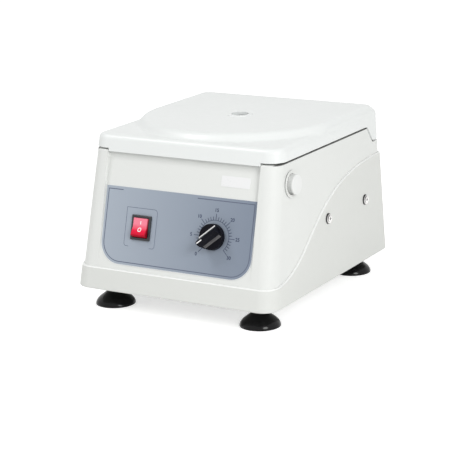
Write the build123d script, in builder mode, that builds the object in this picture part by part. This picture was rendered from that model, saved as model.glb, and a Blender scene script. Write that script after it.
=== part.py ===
from build123d import *
import math
import os

# A benchtop centrifuge, in millimetres. The origin is on the bench, under the middle of
# the casing. +X is the user's right, -Y is the front with the panel, +Z is up.

# Casing, as the outer faces of the upper housing
casing_base_z = 24.7
deck_z = 175.2
casing_width_low = 245.9
casing_width_top = 232.1
casing_front_low = -145.0
casing_front_top = -110.75
casing_back_low = 145.0
casing_back_top = 139.1
front_corner_r = 16.0
back_corner_r = 10.0
casing_wall = 2.5
deck_edge_r = 1.5
upper_low_z = 38.0

# Lower housing, a skirt round the upper one with an S-shaped upper edge
skirt_wall = 2.25
skirt_gap = 0.15
skirt_floor = 2.5
base_edge_r = 1.5
seam_front_z = 48.6
seam_back_z = 142.1
seam_start_y = -140.0
seam_low_bend_y = -39.0
seam_high_bend_y = -51.0
seam_end_y = 131.0
seam_edge_r = 1.5
seam_face_lean = 0.3

# Leaning control panel, recessed between two cheeks
panel_lean = 15.2
panel_foot_z = 50.0
recess_half_width = 96.2
recess_margin = 1.0
overlay_top_z = 136.7
overlay_half_width = recess_half_width - recess_margin
overlay_height = 85.6
overlay_corner_r = 25.0
overlay_thickness = 0.4
label_width = 35.0
label_height = 11.5
label_thickness = 0.3
label_corner_r = 0.8
label_x = 66.0
label_above_overlay = 18.0

# Rotor axis and chamber
rotor_y = 17.0
bowl_r = 85.0
bowl_wall = 1.5
bowl_floor_z = 75.0
bowl_corner_r = 16.0
bowl_flange_r = 91.5
bowl_flange_thickness = 1.0
bowl_collar_r = 9.0
bowl_collar_height = 6.0
deck_hole_clearance = 0.4

# Lid
lid_gap = 2.0
lid_overhang = 1.3
lid_front_set = 0.4
lid_low_top_z = 191.5
lid_top_z = 199.0
lid_back_y = 137.0
lid_edge_r = 6.0
lid_wall = 2.5
crown_half_width = 111.5
crown_centre_y = 21.0
crown_back_y = 129.0
crown_corner_r = 9.0
crown_edge_r = 8.0
crown_shoulder_r = 4.0
crown_foot_r = 6.5
crown_void_inset = 1.0
tongue_half_width = recess_half_width - recess_margin
tongue_drop = 1.4
crown_foot_drop = 4.0
sight_hole_r = 10.0
sight_ring_r = 14.3
sight_ring_height = 0.8
sight_ring_edge_r = 0.7
sight_tube_wall = 2.5
window_thickness = 2.4
window_clearance = 0.1
liner_thickness = 2.0
liner_gap = 0.3
liner_back_y = 103.0
gasket_r = 86.0
gasket_width = 5.0
gasket_gap = 0.3
gasket_proud = 1.0
gasket_seat = 0.8
gasket_edge_r = 0.5
liner_screw_front_x = 84.0
liner_screw_front_y = -84.0
liner_screw_back_x = 98.0
liner_screw_back_y = 88.0

# Lid hinge
hinge_y = 127.0
hinge_z = 169.0
lobe_r = 10.0
lobe_front_top_y = 105.2
lobe_front_foot_y = 118.6
lobe_front_r = 4.0
lobe_clearance = 2.2
ledge_clearance = 2.5
hinge_x = 78.0
hinge_leaf_width = 30.0
hinge_leaf_thickness = 1.5
hinge_leaf_front_y = 86.0
hinge_knuckle_r = 3.6
hinge_pin_r = 1.5
hinge_running_gap = 0.05
hinge_side_gap = 0.4
hinge_leaf_bend_y = 106.6
hinge_leaf_drop_y = 112.0
hinge_bend_gap = 0.6
hinge_knuckle_width = 10.0
hinge_screw_y = 92.0
hinge_screw_step = 9.0
hinge_screw_length = 8.0
lid_leaf_low_z = 173.6
lid_leaf_height = 16.0
lid_leaf_screw_z = 183.0
lid_leaf_screw_length = 6.0

# Angle rotor with six tube sleeves
sleeve_count = 6
sleeve_lean = 25.0
sleeve_top_radius = 38.0
sleeve_top_z = 144.0
sleeve_bore_r = 8.6
sleeve_wall = 1.4
sleeve_depth = 61.0
sleeve_floor = 2.0
sleeve_rim_r = 12.2
sleeve_rim_height = 2.0
cushion_height = 3.0
head_outer_r = 54.0
head_thickness = 4.0
head_hub_r = 11.0
head_hub_low_z = 105.0
head_hole_clearance = 0.1
cushion_r = 8.0
cushion_gap = 0.05
drain_hole_r = 1.5
turned_edge = 0.6
rotor_nut_r = 13.0
rotor_nut_low_z = 137.0
rotor_nut_height = 13.0
nut_flutes = 12
nut_flute_r = 1.6
nut_roof_gap = 0.3
shaft_r = 4.0
shaft_gap = 0.02
shaft_low_z = 39.2
shaft_top_z = 146.0

# Motor
motor_r = 42.0
motor_low_z = 37.5
motor_top_z = 70.0
motor_wall = 3.0
motor_flange_r = 60.0
motor_flange_thickness = 3.0
motor_flange_z = 47.5
motor_mount_circle = 102.0
motor_mount_count = 3
motor_mount_r = 7.0
motor_screw_length = 18.0
motor_shaft_hole_r = 6.0
motor_vent_count = 8
motor_vent_width = 8.0
motor_vent_height = 3.0
motor_vent_rise = 3.0
bearing_r = 11.0
bearing_height = 7.0
bearing_lip = 1.0
bearing_running_gap = 0.03
bearing_seal_width = 3.6
bearing_seal_depth = 0.4
armature_r = 25.4
armature_low_z = 48.0
armature_height = 12.0
air_gap = 0.6
stator_rim = 5.0
pole_count = 8
pole_width = 9.0
armature_slots = 12
armature_slot_depth = 5.0
armature_slot_width = 2.4

# Chassis
chassis_thickness = 1.5
chassis_post_height = 6.0
chassis_post_r = 6.0
chassis_side_gap = 16.95
chassis_end_gap = 29.0
chassis_width = casing_width_low - 2 * chassis_side_gap
chassis_depth = casing_back_low - casing_front_low - 2 * chassis_end_gap
chassis_corner_r = 14.0
chassis_screw_inset = 18.0
chassis_screw_x = chassis_width / 2 - chassis_screw_inset
chassis_screw_y = chassis_depth / 2 - chassis_screw_inset
chassis_opening_r = 40.0
chassis_screw_length = 7.0

# Feet
foot_side_inset = 30.25
foot_end_inset = 32.5
foot_x = casing_width_low / 2 - foot_side_inset
foot_y = casing_back_low - foot_end_inset
foot_r = 22.5
foot_bell_r = 21.4
foot_bell_z = 4.0
foot_waist_r = 17.6
foot_waist_z = 8.2
foot_vault_r = 11.25
foot_vault_z = 2.8
foot_lip = 1.2
foot_neck_r = 9.5
foot_neck_z = 14.8
foot_cup_depth = 4.0
foot_cup_lip = 2.2
foot_plug_r = 5.0
foot_plug_head_r = 6.4
foot_plug_head_height = 3.0

# Rocker switch
switch_x = -45.1
switch_drop = 42.6
switch_bezel_width = 24.6
switch_bezel_height = 27.6
switch_bezel_thickness = 2.0
switch_body_width = 21.6
switch_body_height = 25.0
switch_body_depth = 22.0
switch_bezel_corner_r = 1.2
switch_bezel_edge_r = 0.8
switch_well_depth = 12.0
terminal_pitch_x = 9.0
terminal_pitch_y = 11.0
terminal_thickness = 0.8
terminal_width = 6.3
terminal_length = 8.0
rocker_width = 18.6
rocker_r = 10.8
rocker_gap = 0.4
rocker_tilt = 12.0
rocker_height = -0.5
rocker_crest = 5.5
rocker_valley = 3.8
rocker_depth = 6.0
rocker_edge_r = 0.6
rocker_pivot_r = 1.5
rocker_pivot_gap = 0.05
rocker_pivot_length = 1.0

# Timer and its knob
timer_x = 46.9
timer_drop = 42.4
timer_body_size = 42.0
timer_body_depth = 32.0
timer_body_corner_r = 2.0
timer_bush_r = 5.0
timer_bush_length = 6.5
timer_nut_r = 8.0
timer_nut_height = 2.4
timer_shaft_r = 3.0
timer_shaft_gap = 0.05
timer_shaft_depth = 20.0
timer_shaft_low = -20.0
knob_rest_turn = 220.0
knob_skirt_r = 14.3
knob_skirt_height = 6.2
knob_panel_gap = 2.6
knob_skirt_draft = 0.3
knob_edge_r = 0.8
knob_nut_gap = 1.0
knob_hollow = 3.0
knob_roof = 6.2
knob_grip_width = 12.0
knob_ridge_width = 2.8
knob_grip_height = 16.2
knob_grip_back = 12.7
knob_grip_front = 13.8
knob_ridge_r = 0.5
knob_toe = 1.2

# Release button and latch, at the right front corner
button_y = -83.0
button_z = 151.0
button_r = 10.9
button_proud = 7.4
button_gap = 0.4
button_flange_r = 13.0
button_flange_thickness = 2.0
button_edge_r = 0.8
button_stem_r = 3.2
button_stem_length = 16.6
bezel_r = 14.8
bezel_proud = 1.0
latch_inset = 25.66
striker_offset = 6.5
striker_y = -66.0
striker_gap = 0.3
striker_foot = 15.0
striker_window_z = 151.0
striker_thickness = 1.5
striker_width = 14.0
striker_window = 9.0
striker_tip_z = 141.0
striker_screw_inset = 8.0
striker_screw_step = 4.0
latch_slot_clearance = 2.5
leaf_thickness = 0.6
leaf_width = 7.0
latch_middle_y = -74.5
latch_span = 30.0
bracket_thickness = 1.5
bracket_low_z = 131.0
bracket_foot = 14.0
bracket_screw_inset = 9.0
bracket_screw_step = 9.0
latch_screw_length = 3.8
leaf_bend_z = 139.0
leaf_screw_z = 135.0
leaf_screw_pitch = 20.0
leaf_push_offset = 4.8
leaf_push_low_z = 145.5
leaf_tip_z = 160.0
leaf_catch_z = 147.2
leaf_nose_offset = 8.1
leaf_nose_top_z = 154.0
leaf_nose_root = 1.0
leaf_window_gap = 0.5

# Lid interlock
interlock_y = -40.0
interlock_rib = 2.0
interlock_rib_offset = 3.4
interlock_rib_low_z = 147.0
interlock_rib_length = 26.0
interlock_switch_y = -32.0
interlock_switch_top_z = 160.0
interlock_switch_width = 6.4
interlock_switch_length = 20.0
interlock_switch_height = 10.0
interlock_peg_z = 153.0
interlock_peg_pitch = 9.5
interlock_peg_r = 1.1
interlock_lever_gap = 0.3
interlock_lever_width = 4.0
interlock_lever_tail = 1.0
interlock_lever_root = 4.0
interlock_tab_thickness = 0.8
interlock_tab_width = 3.2
interlock_tab_length = 5.0
interlock_pin_r = 3.0
interlock_pin_tip_z = 168.5
interlock_hole_r = 5.0

# Mains inlet on the back
inlet_x = -62.0
inlet_z = 62.0
inlet_gap = 0.3
inlet_flange_corner_r = 2.0
inlet_flange_width = 50.0
inlet_flange_height = 24.0
inlet_flange_thickness = 2.5
inlet_body_width = 27.6
inlet_body_height = 19.6
inlet_body_depth = 20.0
inlet_socket_width = 24.4
inlet_socket_height = 16.4
inlet_socket_depth = 16.5
inlet_socket_chamfer = 5.0
inlet_pin_pitch = 7.0
inlet_pin_drop = 2.0
inlet_pin_thickness = 2.0
inlet_pin_width = 4.0
inlet_pin_length = 14.0
inlet_screw_length = 8.0
inlet_screw_pitch = 40.0

# Screws
side_screw_z = 95.5
side_screw_ys = (-6.5, 88.0)
side_washer_r = 6.2
side_washer_height = 2.2
side_screw_head_r = 3.9
side_washer_top_r = 5.0
side_washer_floor = 0.6
side_washer_rim = 0.5
side_screw_r = 2.0
side_screw_length = 12.0
side_boss_r = 4.5
side_boss_length = 8.0
small_screw_r = 1.5
small_screw_head_r = 2.8
screw_clearance = 0.1
screw_head_ratio = 0.55
screw_cross_ratio = 0.25
liner_boss_r = 4.0
liner_screw_depth = 8.0
liner_screw_length = 8.0

# Reach of cuts that go right through, and how far a cut runs past a face
far = 400.0
past = 1.0
seated = (Align.CENTER, Align.CENTER, Align.MIN)
hung = (Align.CENTER, Align.CENTER, Align.MAX)
top_right = (Align.MAX, Align.CENTER, Align.MAX)
floor_top_z = casing_base_z + skirt_floor
chassis_low_z = floor_top_z + chassis_post_height
chassis_top_z = chassis_low_z + chassis_thickness
skirt_face = skirt_gap + skirt_wall
gasket_low_z = deck_z + bowl_flange_thickness + gasket_gap
liner_low_z = gasket_low_z + gasket_proud
liner_top_z = liner_low_z + liner_thickness
hole_r = small_screw_r + screw_clearance
hole_head_r = small_screw_head_r + screw_clearance
lid_leaf_face_y = hinge_y + hinge_knuckle_r
knob_low = overlay_thickness + knob_panel_gap
foot_places = [(x, y) for x in (-foot_x, foot_x) for y in (-foot_y, foot_y)]
chassis_screw_places = [
    (x, y) for x in (-chassis_screw_x, chassis_screw_x) for y in (-chassis_screw_y, chassis_screw_y)
]
liner_screw_places = [
    (-liner_screw_front_x, liner_screw_front_y),
    (liner_screw_front_x, liner_screw_front_y),
    (-liner_screw_back_x, liner_screw_back_y),
    (liner_screw_back_x, liner_screw_back_y),
]
hinge_screw_xs = [side * hinge_x + step for side in (-1, 1) for step in (-hinge_screw_step, hinge_screw_step)]


def between(low, top, z):
    """A casing size at one height, on the line from its base value to its deck value."""
    return low + (top - low) * (z - casing_base_z) / (deck_z - casing_base_z)


def half_width(z):
    return between(casing_width_low, casing_width_top, z) / 2


def front_y(z):
    return between(casing_front_low, casing_front_top, z)


def back_y(z):
    return between(casing_back_low, casing_back_top, z)


def panel_y(z):
    """Where the leaning panel's face is at one height."""
    return front_y(panel_foot_z) + (z - panel_foot_z) * math.tan(math.radians(panel_lean))


# The latch and the interlock keep their distance from the side wall at the button
latch_face_x = half_width(button_z) - latch_inset
leaf_push_x = latch_face_x + leaf_push_offset
leaf_nose_x = latch_face_x + leaf_nose_offset
striker_x = latch_face_x + striker_offset
interlock_x = striker_x
interlock_rib_x = interlock_x + interlock_rib_offset
striker_screw_places = [
    (striker_x - striker_screw_inset, striker_y + step) for step in (-striker_screw_step, striker_screw_step)
]
bracket_screw_places = [
    (latch_face_x - bracket_screw_inset, latch_middle_y + step)
    for step in (-bracket_screw_step, bracket_screw_step)
]


def rounded_outline(half, front, back, front_r, back_r, z):
    """A horizontal outline with round front corners and round back corners."""
    with BuildSketch(Plane.XY.offset(z)) as outline:
        with Locations((0, (front + back) / 2)):
            Rectangle(2 * half, back - front)
        fillet(outline.vertices().group_by(Axis.Y)[0], front_r)
        fillet(outline.vertices().group_by(Axis.Y)[-1], back_r)
    return outline.sketch


def casing_form(grow, low_z, high_z, mode=Mode.ADD):
    """The tapering block of the casing between two heights, grown outward all round."""
    outlines = [
        rounded_outline(
            half_width(z) + grow,
            front_y(z) - grow,
            back_y(z) + grow,
            front_corner_r + grow,
            back_corner_r + grow,
            z,
        )
        for z in (low_z, high_z)
    ]
    loft(outlines, ruled=True, mode=mode)


def lid_form(grow, low_z, high_z, mode=Mode.ADD):
    """The lid's block: its front leans as the casing does, its back is upright."""
    outlines = [
        rounded_outline(
            half_width(z) + lid_overhang + grow,
            front_y(z) + lid_front_set - grow,
            lid_back_y + grow,
            front_corner_r + lid_overhang + grow,
            back_corner_r + grow,
            z,
        )
        for z in (low_z, high_z)
    ]
    loft(outlines, ruled=True, mode=mode)


def side_cut(points, reach=far, mode=Mode.SUBTRACT):
    """Cuts a profile drawn in the side view through the part, out to reach each side."""
    with BuildSketch(Plane.YZ) as profile:
        with BuildLine():
            Polyline(*points, close=True)
        make_face()
    extrude(profile.sketch, amount=reach, both=True, mode=mode)


def recess_cut(inset, reach):
    """Takes away what lies in front of the panel's face, which is set inward by inset."""
    shift = inset / math.cos(math.radians(panel_lean))
    side_cut(
        [
            (panel_y(0) + shift, 0),
            (panel_y(deck_z + lid_gap) + shift, deck_z + lid_gap),
            (-far, deck_z + lid_gap),
            (-far, 0),
        ],
        reach,
    )


lid_skirt_z = deck_z + lid_gap
ledge_z = hinge_z - lobe_r - ledge_clearance
lobe_slope = (lobe_front_foot_y - lobe_front_top_y) / (lid_skirt_z - hinge_z + lobe_r)


def relief_cut(inset):
    """Takes away the casing's rear top, where the lid's lobes and back wall swing."""
    top_y = lobe_front_top_y - lobe_clearance - inset
    top_z = lid_skirt_z + lid_gap
    foot_z = ledge_z - inset
    foot_y = top_y + lobe_slope * (top_z - foot_z)
    side_cut([(top_y, top_z), (foot_y, foot_z), (far, foot_z), (far, top_z)])


# Planes that the pieces on the slopes are drawn on
panel_lean_rad = math.radians(panel_lean)
panel_normal = Vector(0, -math.cos(panel_lean_rad), math.sin(panel_lean_rad))
panel_up = Vector(0, math.sin(panel_lean_rad), math.cos(panel_lean_rad))
overlay_top = Vector(0, panel_y(overlay_top_z), overlay_top_z)
panel_plane = Plane(origin=overlay_top, x_dir=(1, 0, 0), z_dir=panel_normal)


def on_panel(x, drop, height=0.0):
    """A plane on the panel, drop below the overlay's top edge and height above the face."""
    place = overlay_top - panel_up * drop + panel_normal * height + Vector(x, 0, 0)
    return Plane(origin=place, x_dir=(1, 0, 0), z_dir=panel_normal)


def facing_right(x, y, z):
    """A plane whose local x is +Y and whose normal is +X."""
    return Plane(origin=(x, y, z), x_dir=(0, 1, 0), z_dir=(1, 0, 0))


def facing_front(x, y, z):
    """A plane whose normal points to the front."""
    return Plane(origin=(x, y, z), x_dir=(1, 0, 0), z_dir=(0, -1, 0))


side_lean = math.atan((casing_width_low - casing_width_top) / 2 / (deck_z - casing_base_z))
side_normal = Vector(math.cos(side_lean), 0, math.sin(side_lean))
back_lean = math.atan((casing_back_low - casing_back_top) / (deck_z - casing_base_z))
back_normal = Vector(0, math.cos(back_lean), math.sin(back_lean))


def on_side(side, y, z, out=0.0):
    """A plane on the side wall, moved out: side is 1 for the right wall, -1 for the left."""
    normal = Vector(side * side_normal.X, 0, side_normal.Z)
    place = Vector(side * half_width(z), y, z) + normal * out
    return Plane(origin=place, x_dir=(0, 1, 0), z_dir=normal)


def on_back(x, z, out=0.0):
    """A plane on the upper housing's back wall, moved out."""
    place = Vector(x, back_y(z), z) + back_normal * out
    return Plane(origin=place, x_dir=(-1, 0, 0), z_dir=back_normal)


def pan_screw(plane, shank_r, length, head_r):
    """A pan-head screw with a cross recess: the head stands on the plane."""
    head_height = screw_head_ratio * head_r
    with Locations(plane):
        Cylinder(shank_r, length, align=hung)
        Cylinder(head_r, head_height, align=seated)
    with Locations(plane.offset(head_height)):
        Box(head_r, screw_cross_ratio * head_r, head_height, mode=Mode.SUBTRACT)
        Box(screw_cross_ratio * head_r, head_r, head_height, mode=Mode.SUBTRACT)


def flush_screw(plane, length):
    """A countersunk screw with a cross recess: its head is level with the plane."""
    with Locations(plane):
        Cylinder(small_screw_r, length, align=hung)
        Cone(small_screw_r, small_screw_head_r, small_screw_head_r - small_screw_r, align=hung)
        Box(small_screw_head_r, screw_cross_ratio * small_screw_head_r, small_screw_r, mode=Mode.SUBTRACT)
        Box(screw_cross_ratio * small_screw_head_r, small_screw_head_r, small_screw_r, mode=Mode.SUBTRACT)


rocker_plane = Plane(
    origin=on_panel(switch_x, switch_drop, rocker_height).origin,
    x_dir=panel_up,
    z_dir=(1, 0, 0),
).moved(Rotation(0, 0, -rocker_tilt))
inlet_plane = on_back(inlet_x, inlet_z, skirt_face)


def save(piece, name):
    piece.part.label = name
    export_step(piece.part, "parts/" + name + ".step")


os.makedirs("parts", exist_ok=True)

# Upper housing: deck, cheeks, panel recess and hinge ledge in one moulding
with BuildPart() as casing_void:
    casing_form(-casing_wall, upper_low_z - past, deck_z - casing_wall)
    recess_cut(casing_wall, recess_half_width + casing_wall)
    relief_cut(casing_wall)

bowl_hole_r = bowl_r + bowl_wall + deck_hole_clearance
switch_plane = on_panel(switch_x, switch_drop)
timer_plane = on_panel(timer_x, timer_drop)
button_plane = on_side(1, button_y, button_z)

with BuildPart() as upper_housing:
    casing_form(0, upper_low_z, deck_z)
    recess_cut(0, recess_half_width)
    relief_cut(0)
    top_edges = upper_housing.faces().sort_by(Axis.Z)[-1].edges()
    fillet(top_edges, deck_edge_r)
    add(casing_void.part, mode=Mode.SUBTRACT)
    with BuildSketch(Plane.XY.offset(deck_z)):
        with Locations((0, rotor_y)):
            Circle(bowl_hole_r)
        with Locations((striker_x, striker_y)):
            Rectangle(striker_thickness + 2 * latch_slot_clearance, striker_width + 2 * latch_slot_clearance)
        with Locations((interlock_x, interlock_y)):
            Circle(interlock_hole_r)
    extrude(amount=-2 * casing_wall, mode=Mode.SUBTRACT)
    with BuildSketch(switch_plane):
        Rectangle(switch_body_width + 2 * rocker_gap, switch_body_height + 2 * rocker_gap)
    extrude(amount=2 * casing_wall, both=True, mode=Mode.SUBTRACT)
    with BuildSketch(timer_plane):
        Circle(timer_bush_r)
    extrude(amount=2 * casing_wall, both=True, mode=Mode.SUBTRACT)
    with BuildSketch(button_plane):
        Circle(button_flange_r)
    extrude(amount=2 * casing_wall, both=True, mode=Mode.SUBTRACT)
    for side in (1, -1):
        for y in side_screw_ys:
            with Locations(on_side(side, y, side_screw_z, -casing_wall / 2)):
                Cylinder(side_boss_r, side_boss_length, align=hung)
            with Locations(on_side(side, y, side_screw_z)):
                Cylinder(side_screw_r, 4 * side_boss_length, mode=Mode.SUBTRACT)
    with Locations(*[(x, hinge_screw_y, deck_z) for x in hinge_screw_xs]):
        Cylinder(liner_boss_r, hinge_screw_length, align=hung)
        Cylinder(small_screw_r, 4 * hinge_screw_length, mode=Mode.SUBTRACT)
    with Locations(*[(x, y, deck_z - casing_wall) for x, y in bracket_screw_places]):
        Cylinder(small_screw_r, 4 * casing_wall, mode=Mode.SUBTRACT)
    with Locations((interlock_rib_x, interlock_switch_y, deck_z - casing_wall / 2)):
        Box(
            interlock_rib,
            interlock_rib_length,
            deck_z - interlock_rib_low_z,
            align=(Align.MIN, Align.CENTER, Align.MAX),
        )
    with BuildSketch(facing_right(interlock_rib_x, interlock_switch_y, interlock_peg_z)):
        with GridLocations(interlock_peg_pitch, 1, 2, 1):
            Circle(interlock_peg_r)
    extrude(amount=-interlock_switch_width)
    with BuildSketch(on_back(inlet_x, inlet_z)):
        Rectangle(inlet_body_width + inlet_gap, inlet_body_height + inlet_gap)
        with GridLocations(inlet_screw_pitch, 1, 2, 1):
            Circle(small_screw_r)
    extrude(amount=2 * casing_wall, both=True, mode=Mode.SUBTRACT)
save(upper_housing, "upper_housing")

# Lower housing: a skirt round the upper housing, closed by a floor
with BuildPart() as lower_housing:
    casing_form(skirt_face, casing_base_z, seam_back_z + past)
    fillet(lower_housing.faces().sort_by(Axis.Z)[0].edges(), base_edge_r)
    with BuildSketch(Plane.YZ):
        with BuildLine():
            Polyline(
                (seam_end_y, seam_back_z),
                (far, seam_back_z),
                (far, 0),
                (-far, 0),
                (-far, seam_front_z),
                (seam_start_y, seam_front_z),
            )
            Bezier(
                (seam_start_y, seam_front_z),
                (seam_low_bend_y, seam_front_z),
                (seam_high_bend_y, seam_back_z),
                (seam_end_y, seam_back_z),
            )
        make_face()
    extrude(amount=far, both=True, mode=Mode.INTERSECT)
    seam_faces = lower_housing.faces().filter_by(lambda face: face.normal_at(face.center()).Z > seam_face_lean)
    seam_edges = [edge for face in seam_faces for edge in face.edges()]
    seam_rim = [edge for edge in seam_edges if sum(edge.is_same(other) for other in seam_edges) == 1]
    fillet(seam_rim, seam_edge_r)
    casing_form(skirt_gap, floor_top_z, seam_back_z + 2 * past, mode=Mode.SUBTRACT)
    with BuildSketch(Plane.XY.offset(floor_top_z)):
        with Locations(*chassis_screw_places):
            Circle(chassis_post_r)
    extrude(amount=chassis_post_height)
    with BuildSketch(Plane.XY.offset(floor_top_z + chassis_post_height)):
        with Locations(*chassis_screw_places):
            Circle(small_screw_r)
    extrude(amount=-chassis_post_height, mode=Mode.SUBTRACT)
    with BuildSketch(Plane.XY.offset(floor_top_z)):
        with Locations(*foot_places):
            Circle(foot_plug_r)
    extrude(amount=-2 * skirt_floor, mode=Mode.SUBTRACT)
    for side in (1, -1):
        for y in side_screw_ys:
            with Locations(on_side(side, y, side_screw_z)):
                Cylinder(side_screw_r + screw_clearance, 4 * skirt_wall, mode=Mode.SUBTRACT)
    with BuildSketch(inlet_plane):
        RectangleRounded(
            inlet_flange_width + 2 * inlet_gap,
            inlet_flange_height + 2 * inlet_gap,
            inlet_flange_corner_r,
        )
    extrude(amount=2 * skirt_wall, both=True, mode=Mode.SUBTRACT)
save(lower_housing, "lower_housing")

# Panel overlay: a printed membrane with square upper and round lower corners
with BuildPart() as panel_overlay:
    with BuildSketch(panel_plane) as overlay_outline:
        with Locations((0, -overlay_height / 2)):
            Rectangle(2 * overlay_half_width, overlay_height)
        fillet(overlay_outline.vertices().group_by(Axis.Y)[0], overlay_corner_r)
    extrude(amount=overlay_thickness)
    with BuildSketch(switch_plane):
        Rectangle(switch_body_width + 2 * rocker_gap, switch_body_height + 2 * rocker_gap)
    extrude(amount=2 * overlay_thickness, mode=Mode.SUBTRACT)
    with BuildSketch(timer_plane):
        Circle(timer_bush_r + screw_clearance)
    extrude(amount=2 * overlay_thickness, mode=Mode.SUBTRACT)
save(panel_overlay, "panel_overlay")

# Label plate: a small blank plate above the overlay
with BuildPart() as label_plate:
    with BuildSketch(on_panel(label_x, -label_above_overlay)):
        RectangleRounded(label_width, label_height, label_corner_r)
    extrude(amount=label_thickness)
save(label_plate, "label_plate")


def suction_foot(x, y):
    """A rubber suction foot: a plug for the floor, a neck and a cup with a flat lip ring."""
    with BuildPart() as foot:
        with BuildSketch(Plane(origin=(x, y, 0), x_dir=(1, 0, 0), z_dir=(0, -1, 0))):
            with BuildLine():
                Polyline((foot_r - foot_cup_lip, 0), (foot_r, 0), (foot_r, foot_lip))
                Spline(
                    (foot_r, foot_lip),
                    (foot_bell_r, foot_bell_z),
                    (foot_waist_r, foot_waist_z),
                    (foot_neck_r, foot_neck_z),
                )
                Polyline(
                    (foot_neck_r, foot_neck_z),
                    (foot_neck_r, casing_base_z),
                    (foot_plug_r, casing_base_z),
                    (foot_plug_r, floor_top_z),
                    (foot_plug_head_r, floor_top_z),
                    (foot_plug_r, floor_top_z + foot_plug_head_height),
                    (0, floor_top_z + foot_plug_head_height),
                    (0, foot_cup_depth),
                )
                Spline(
                    (0, foot_cup_depth),
                    (foot_vault_r, foot_vault_z),
                    (foot_r - foot_cup_lip, 0),
                )
            make_face()
        revolve(axis=Axis((x, y, 0), (0, 0, 1)))
    return foot


# Feet: four alike, named by their corner
foot_front_left = suction_foot(-foot_x, -foot_y)
save(foot_front_left, "foot_front_left")
foot_front_right = suction_foot(foot_x, -foot_y)
save(foot_front_right, "foot_front_right")
foot_rear_left = suction_foot(-foot_x, foot_y)
save(foot_rear_left, "foot_rear_left")
foot_rear_right = suction_foot(foot_x, foot_y)
save(foot_rear_right, "foot_rear_right")

# Side screws sit in cup washers, two on each side
with BuildPart() as side_washers:
    for side in (1, -1):
        for y in side_screw_ys:
            with Locations(on_side(side, y, side_screw_z, skirt_face)):
                Cone(side_washer_r, side_washer_top_r, side_washer_height, align=seated)
                Cylinder(
                    side_screw_head_r + screw_clearance,
                    side_washer_height,
                    align=seated,
                    mode=Mode.SUBTRACT,
                )
                Cylinder(side_washer_r - side_washer_rim, side_washer_floor, align=seated)
                Cylinder(side_screw_r + screw_clearance, 4 * side_washer_height, mode=Mode.SUBTRACT)
save(side_washers, "side_washers")

with BuildPart() as side_screws:
    for side in (1, -1):
        for y in side_screw_ys:
            seat = on_side(side, y, side_screw_z, skirt_face + side_washer_floor)
            pan_screw(seat, side_screw_r, side_screw_length, side_screw_head_r)
save(side_screws, "side_screws")

# Chassis plate: sheet steel on the floor's posts, carrying the motor
with BuildPart() as chassis_plate:
    with BuildSketch(Plane.XY.offset(chassis_low_z)):
        RectangleRounded(chassis_width, chassis_depth, chassis_corner_r)
        with Locations((0, rotor_y)):
            Circle(chassis_opening_r, mode=Mode.SUBTRACT)
        with Locations(*chassis_screw_places):
            Circle(small_screw_r + screw_clearance, mode=Mode.SUBTRACT)
        with Locations((0, rotor_y)):
            with PolarLocations(motor_mount_circle / 2, motor_mount_count, start_angle=90):
                Circle(small_screw_r, mode=Mode.SUBTRACT)
    extrude(amount=chassis_thickness)
save(chassis_plate, "chassis_plate")

with BuildPart() as chassis_screws:
    for x, y in chassis_screw_places:
        seat = Plane(origin=(x, y, chassis_top_z))
        pan_screw(seat, small_screw_r, chassis_screw_length, small_screw_head_r)
save(chassis_screws, "chassis_screws")

# Rotor bowl: spun steel, hung by its flange in the deck's hole
with BuildPart() as rotor_bowl:
    with BuildSketch(Plane.XZ) as bowl_outline:
        with Locations((0, bowl_floor_z - bowl_wall)):
            Rectangle(
                bowl_r + bowl_wall,
                deck_z + bowl_flange_thickness - bowl_floor_z + bowl_wall,
                align=(Align.MIN, Align.MIN),
            )
        fillet(bowl_outline.vertices().group_by(Axis.Y)[0].sort_by(Axis.X)[-1], bowl_corner_r + bowl_wall)
        with Locations((0, deck_z)):
            Rectangle(bowl_flange_r, bowl_flange_thickness, align=(Align.MIN, Align.MIN))
    revolve(axis=Axis.Z)
    with BuildSketch(Plane.XZ) as bowl_hollow:
        with Locations((0, bowl_floor_z)):
            Rectangle(bowl_r, deck_z, align=(Align.MIN, Align.MIN))
        fillet(bowl_hollow.vertices().group_by(Axis.Y)[0].sort_by(Axis.X)[-1], bowl_corner_r)
    revolve(axis=Axis.Z, mode=Mode.SUBTRACT)
    with Locations((0, 0, bowl_floor_z - bowl_wall)):
        Cylinder(bowl_collar_r + bowl_wall, bowl_wall + bowl_collar_height, align=seated)
        Cylinder(bowl_collar_r, bowl_wall + bowl_collar_height, align=seated, mode=Mode.SUBTRACT)
rotor_bowl.part = rotor_bowl.part.moved(Location((0, rotor_y, 0)))
save(rotor_bowl, "rotor_bowl")


def about_spindle():
    """The upright plane through the spindle: local x is the radius, local y is height."""
    return Plane(origin=(0, rotor_y, 0), x_dir=(1, 0, 0), z_dir=(0, -1, 0))


spindle = Axis((0, rotor_y, 0), (0, 0, 1))

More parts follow.
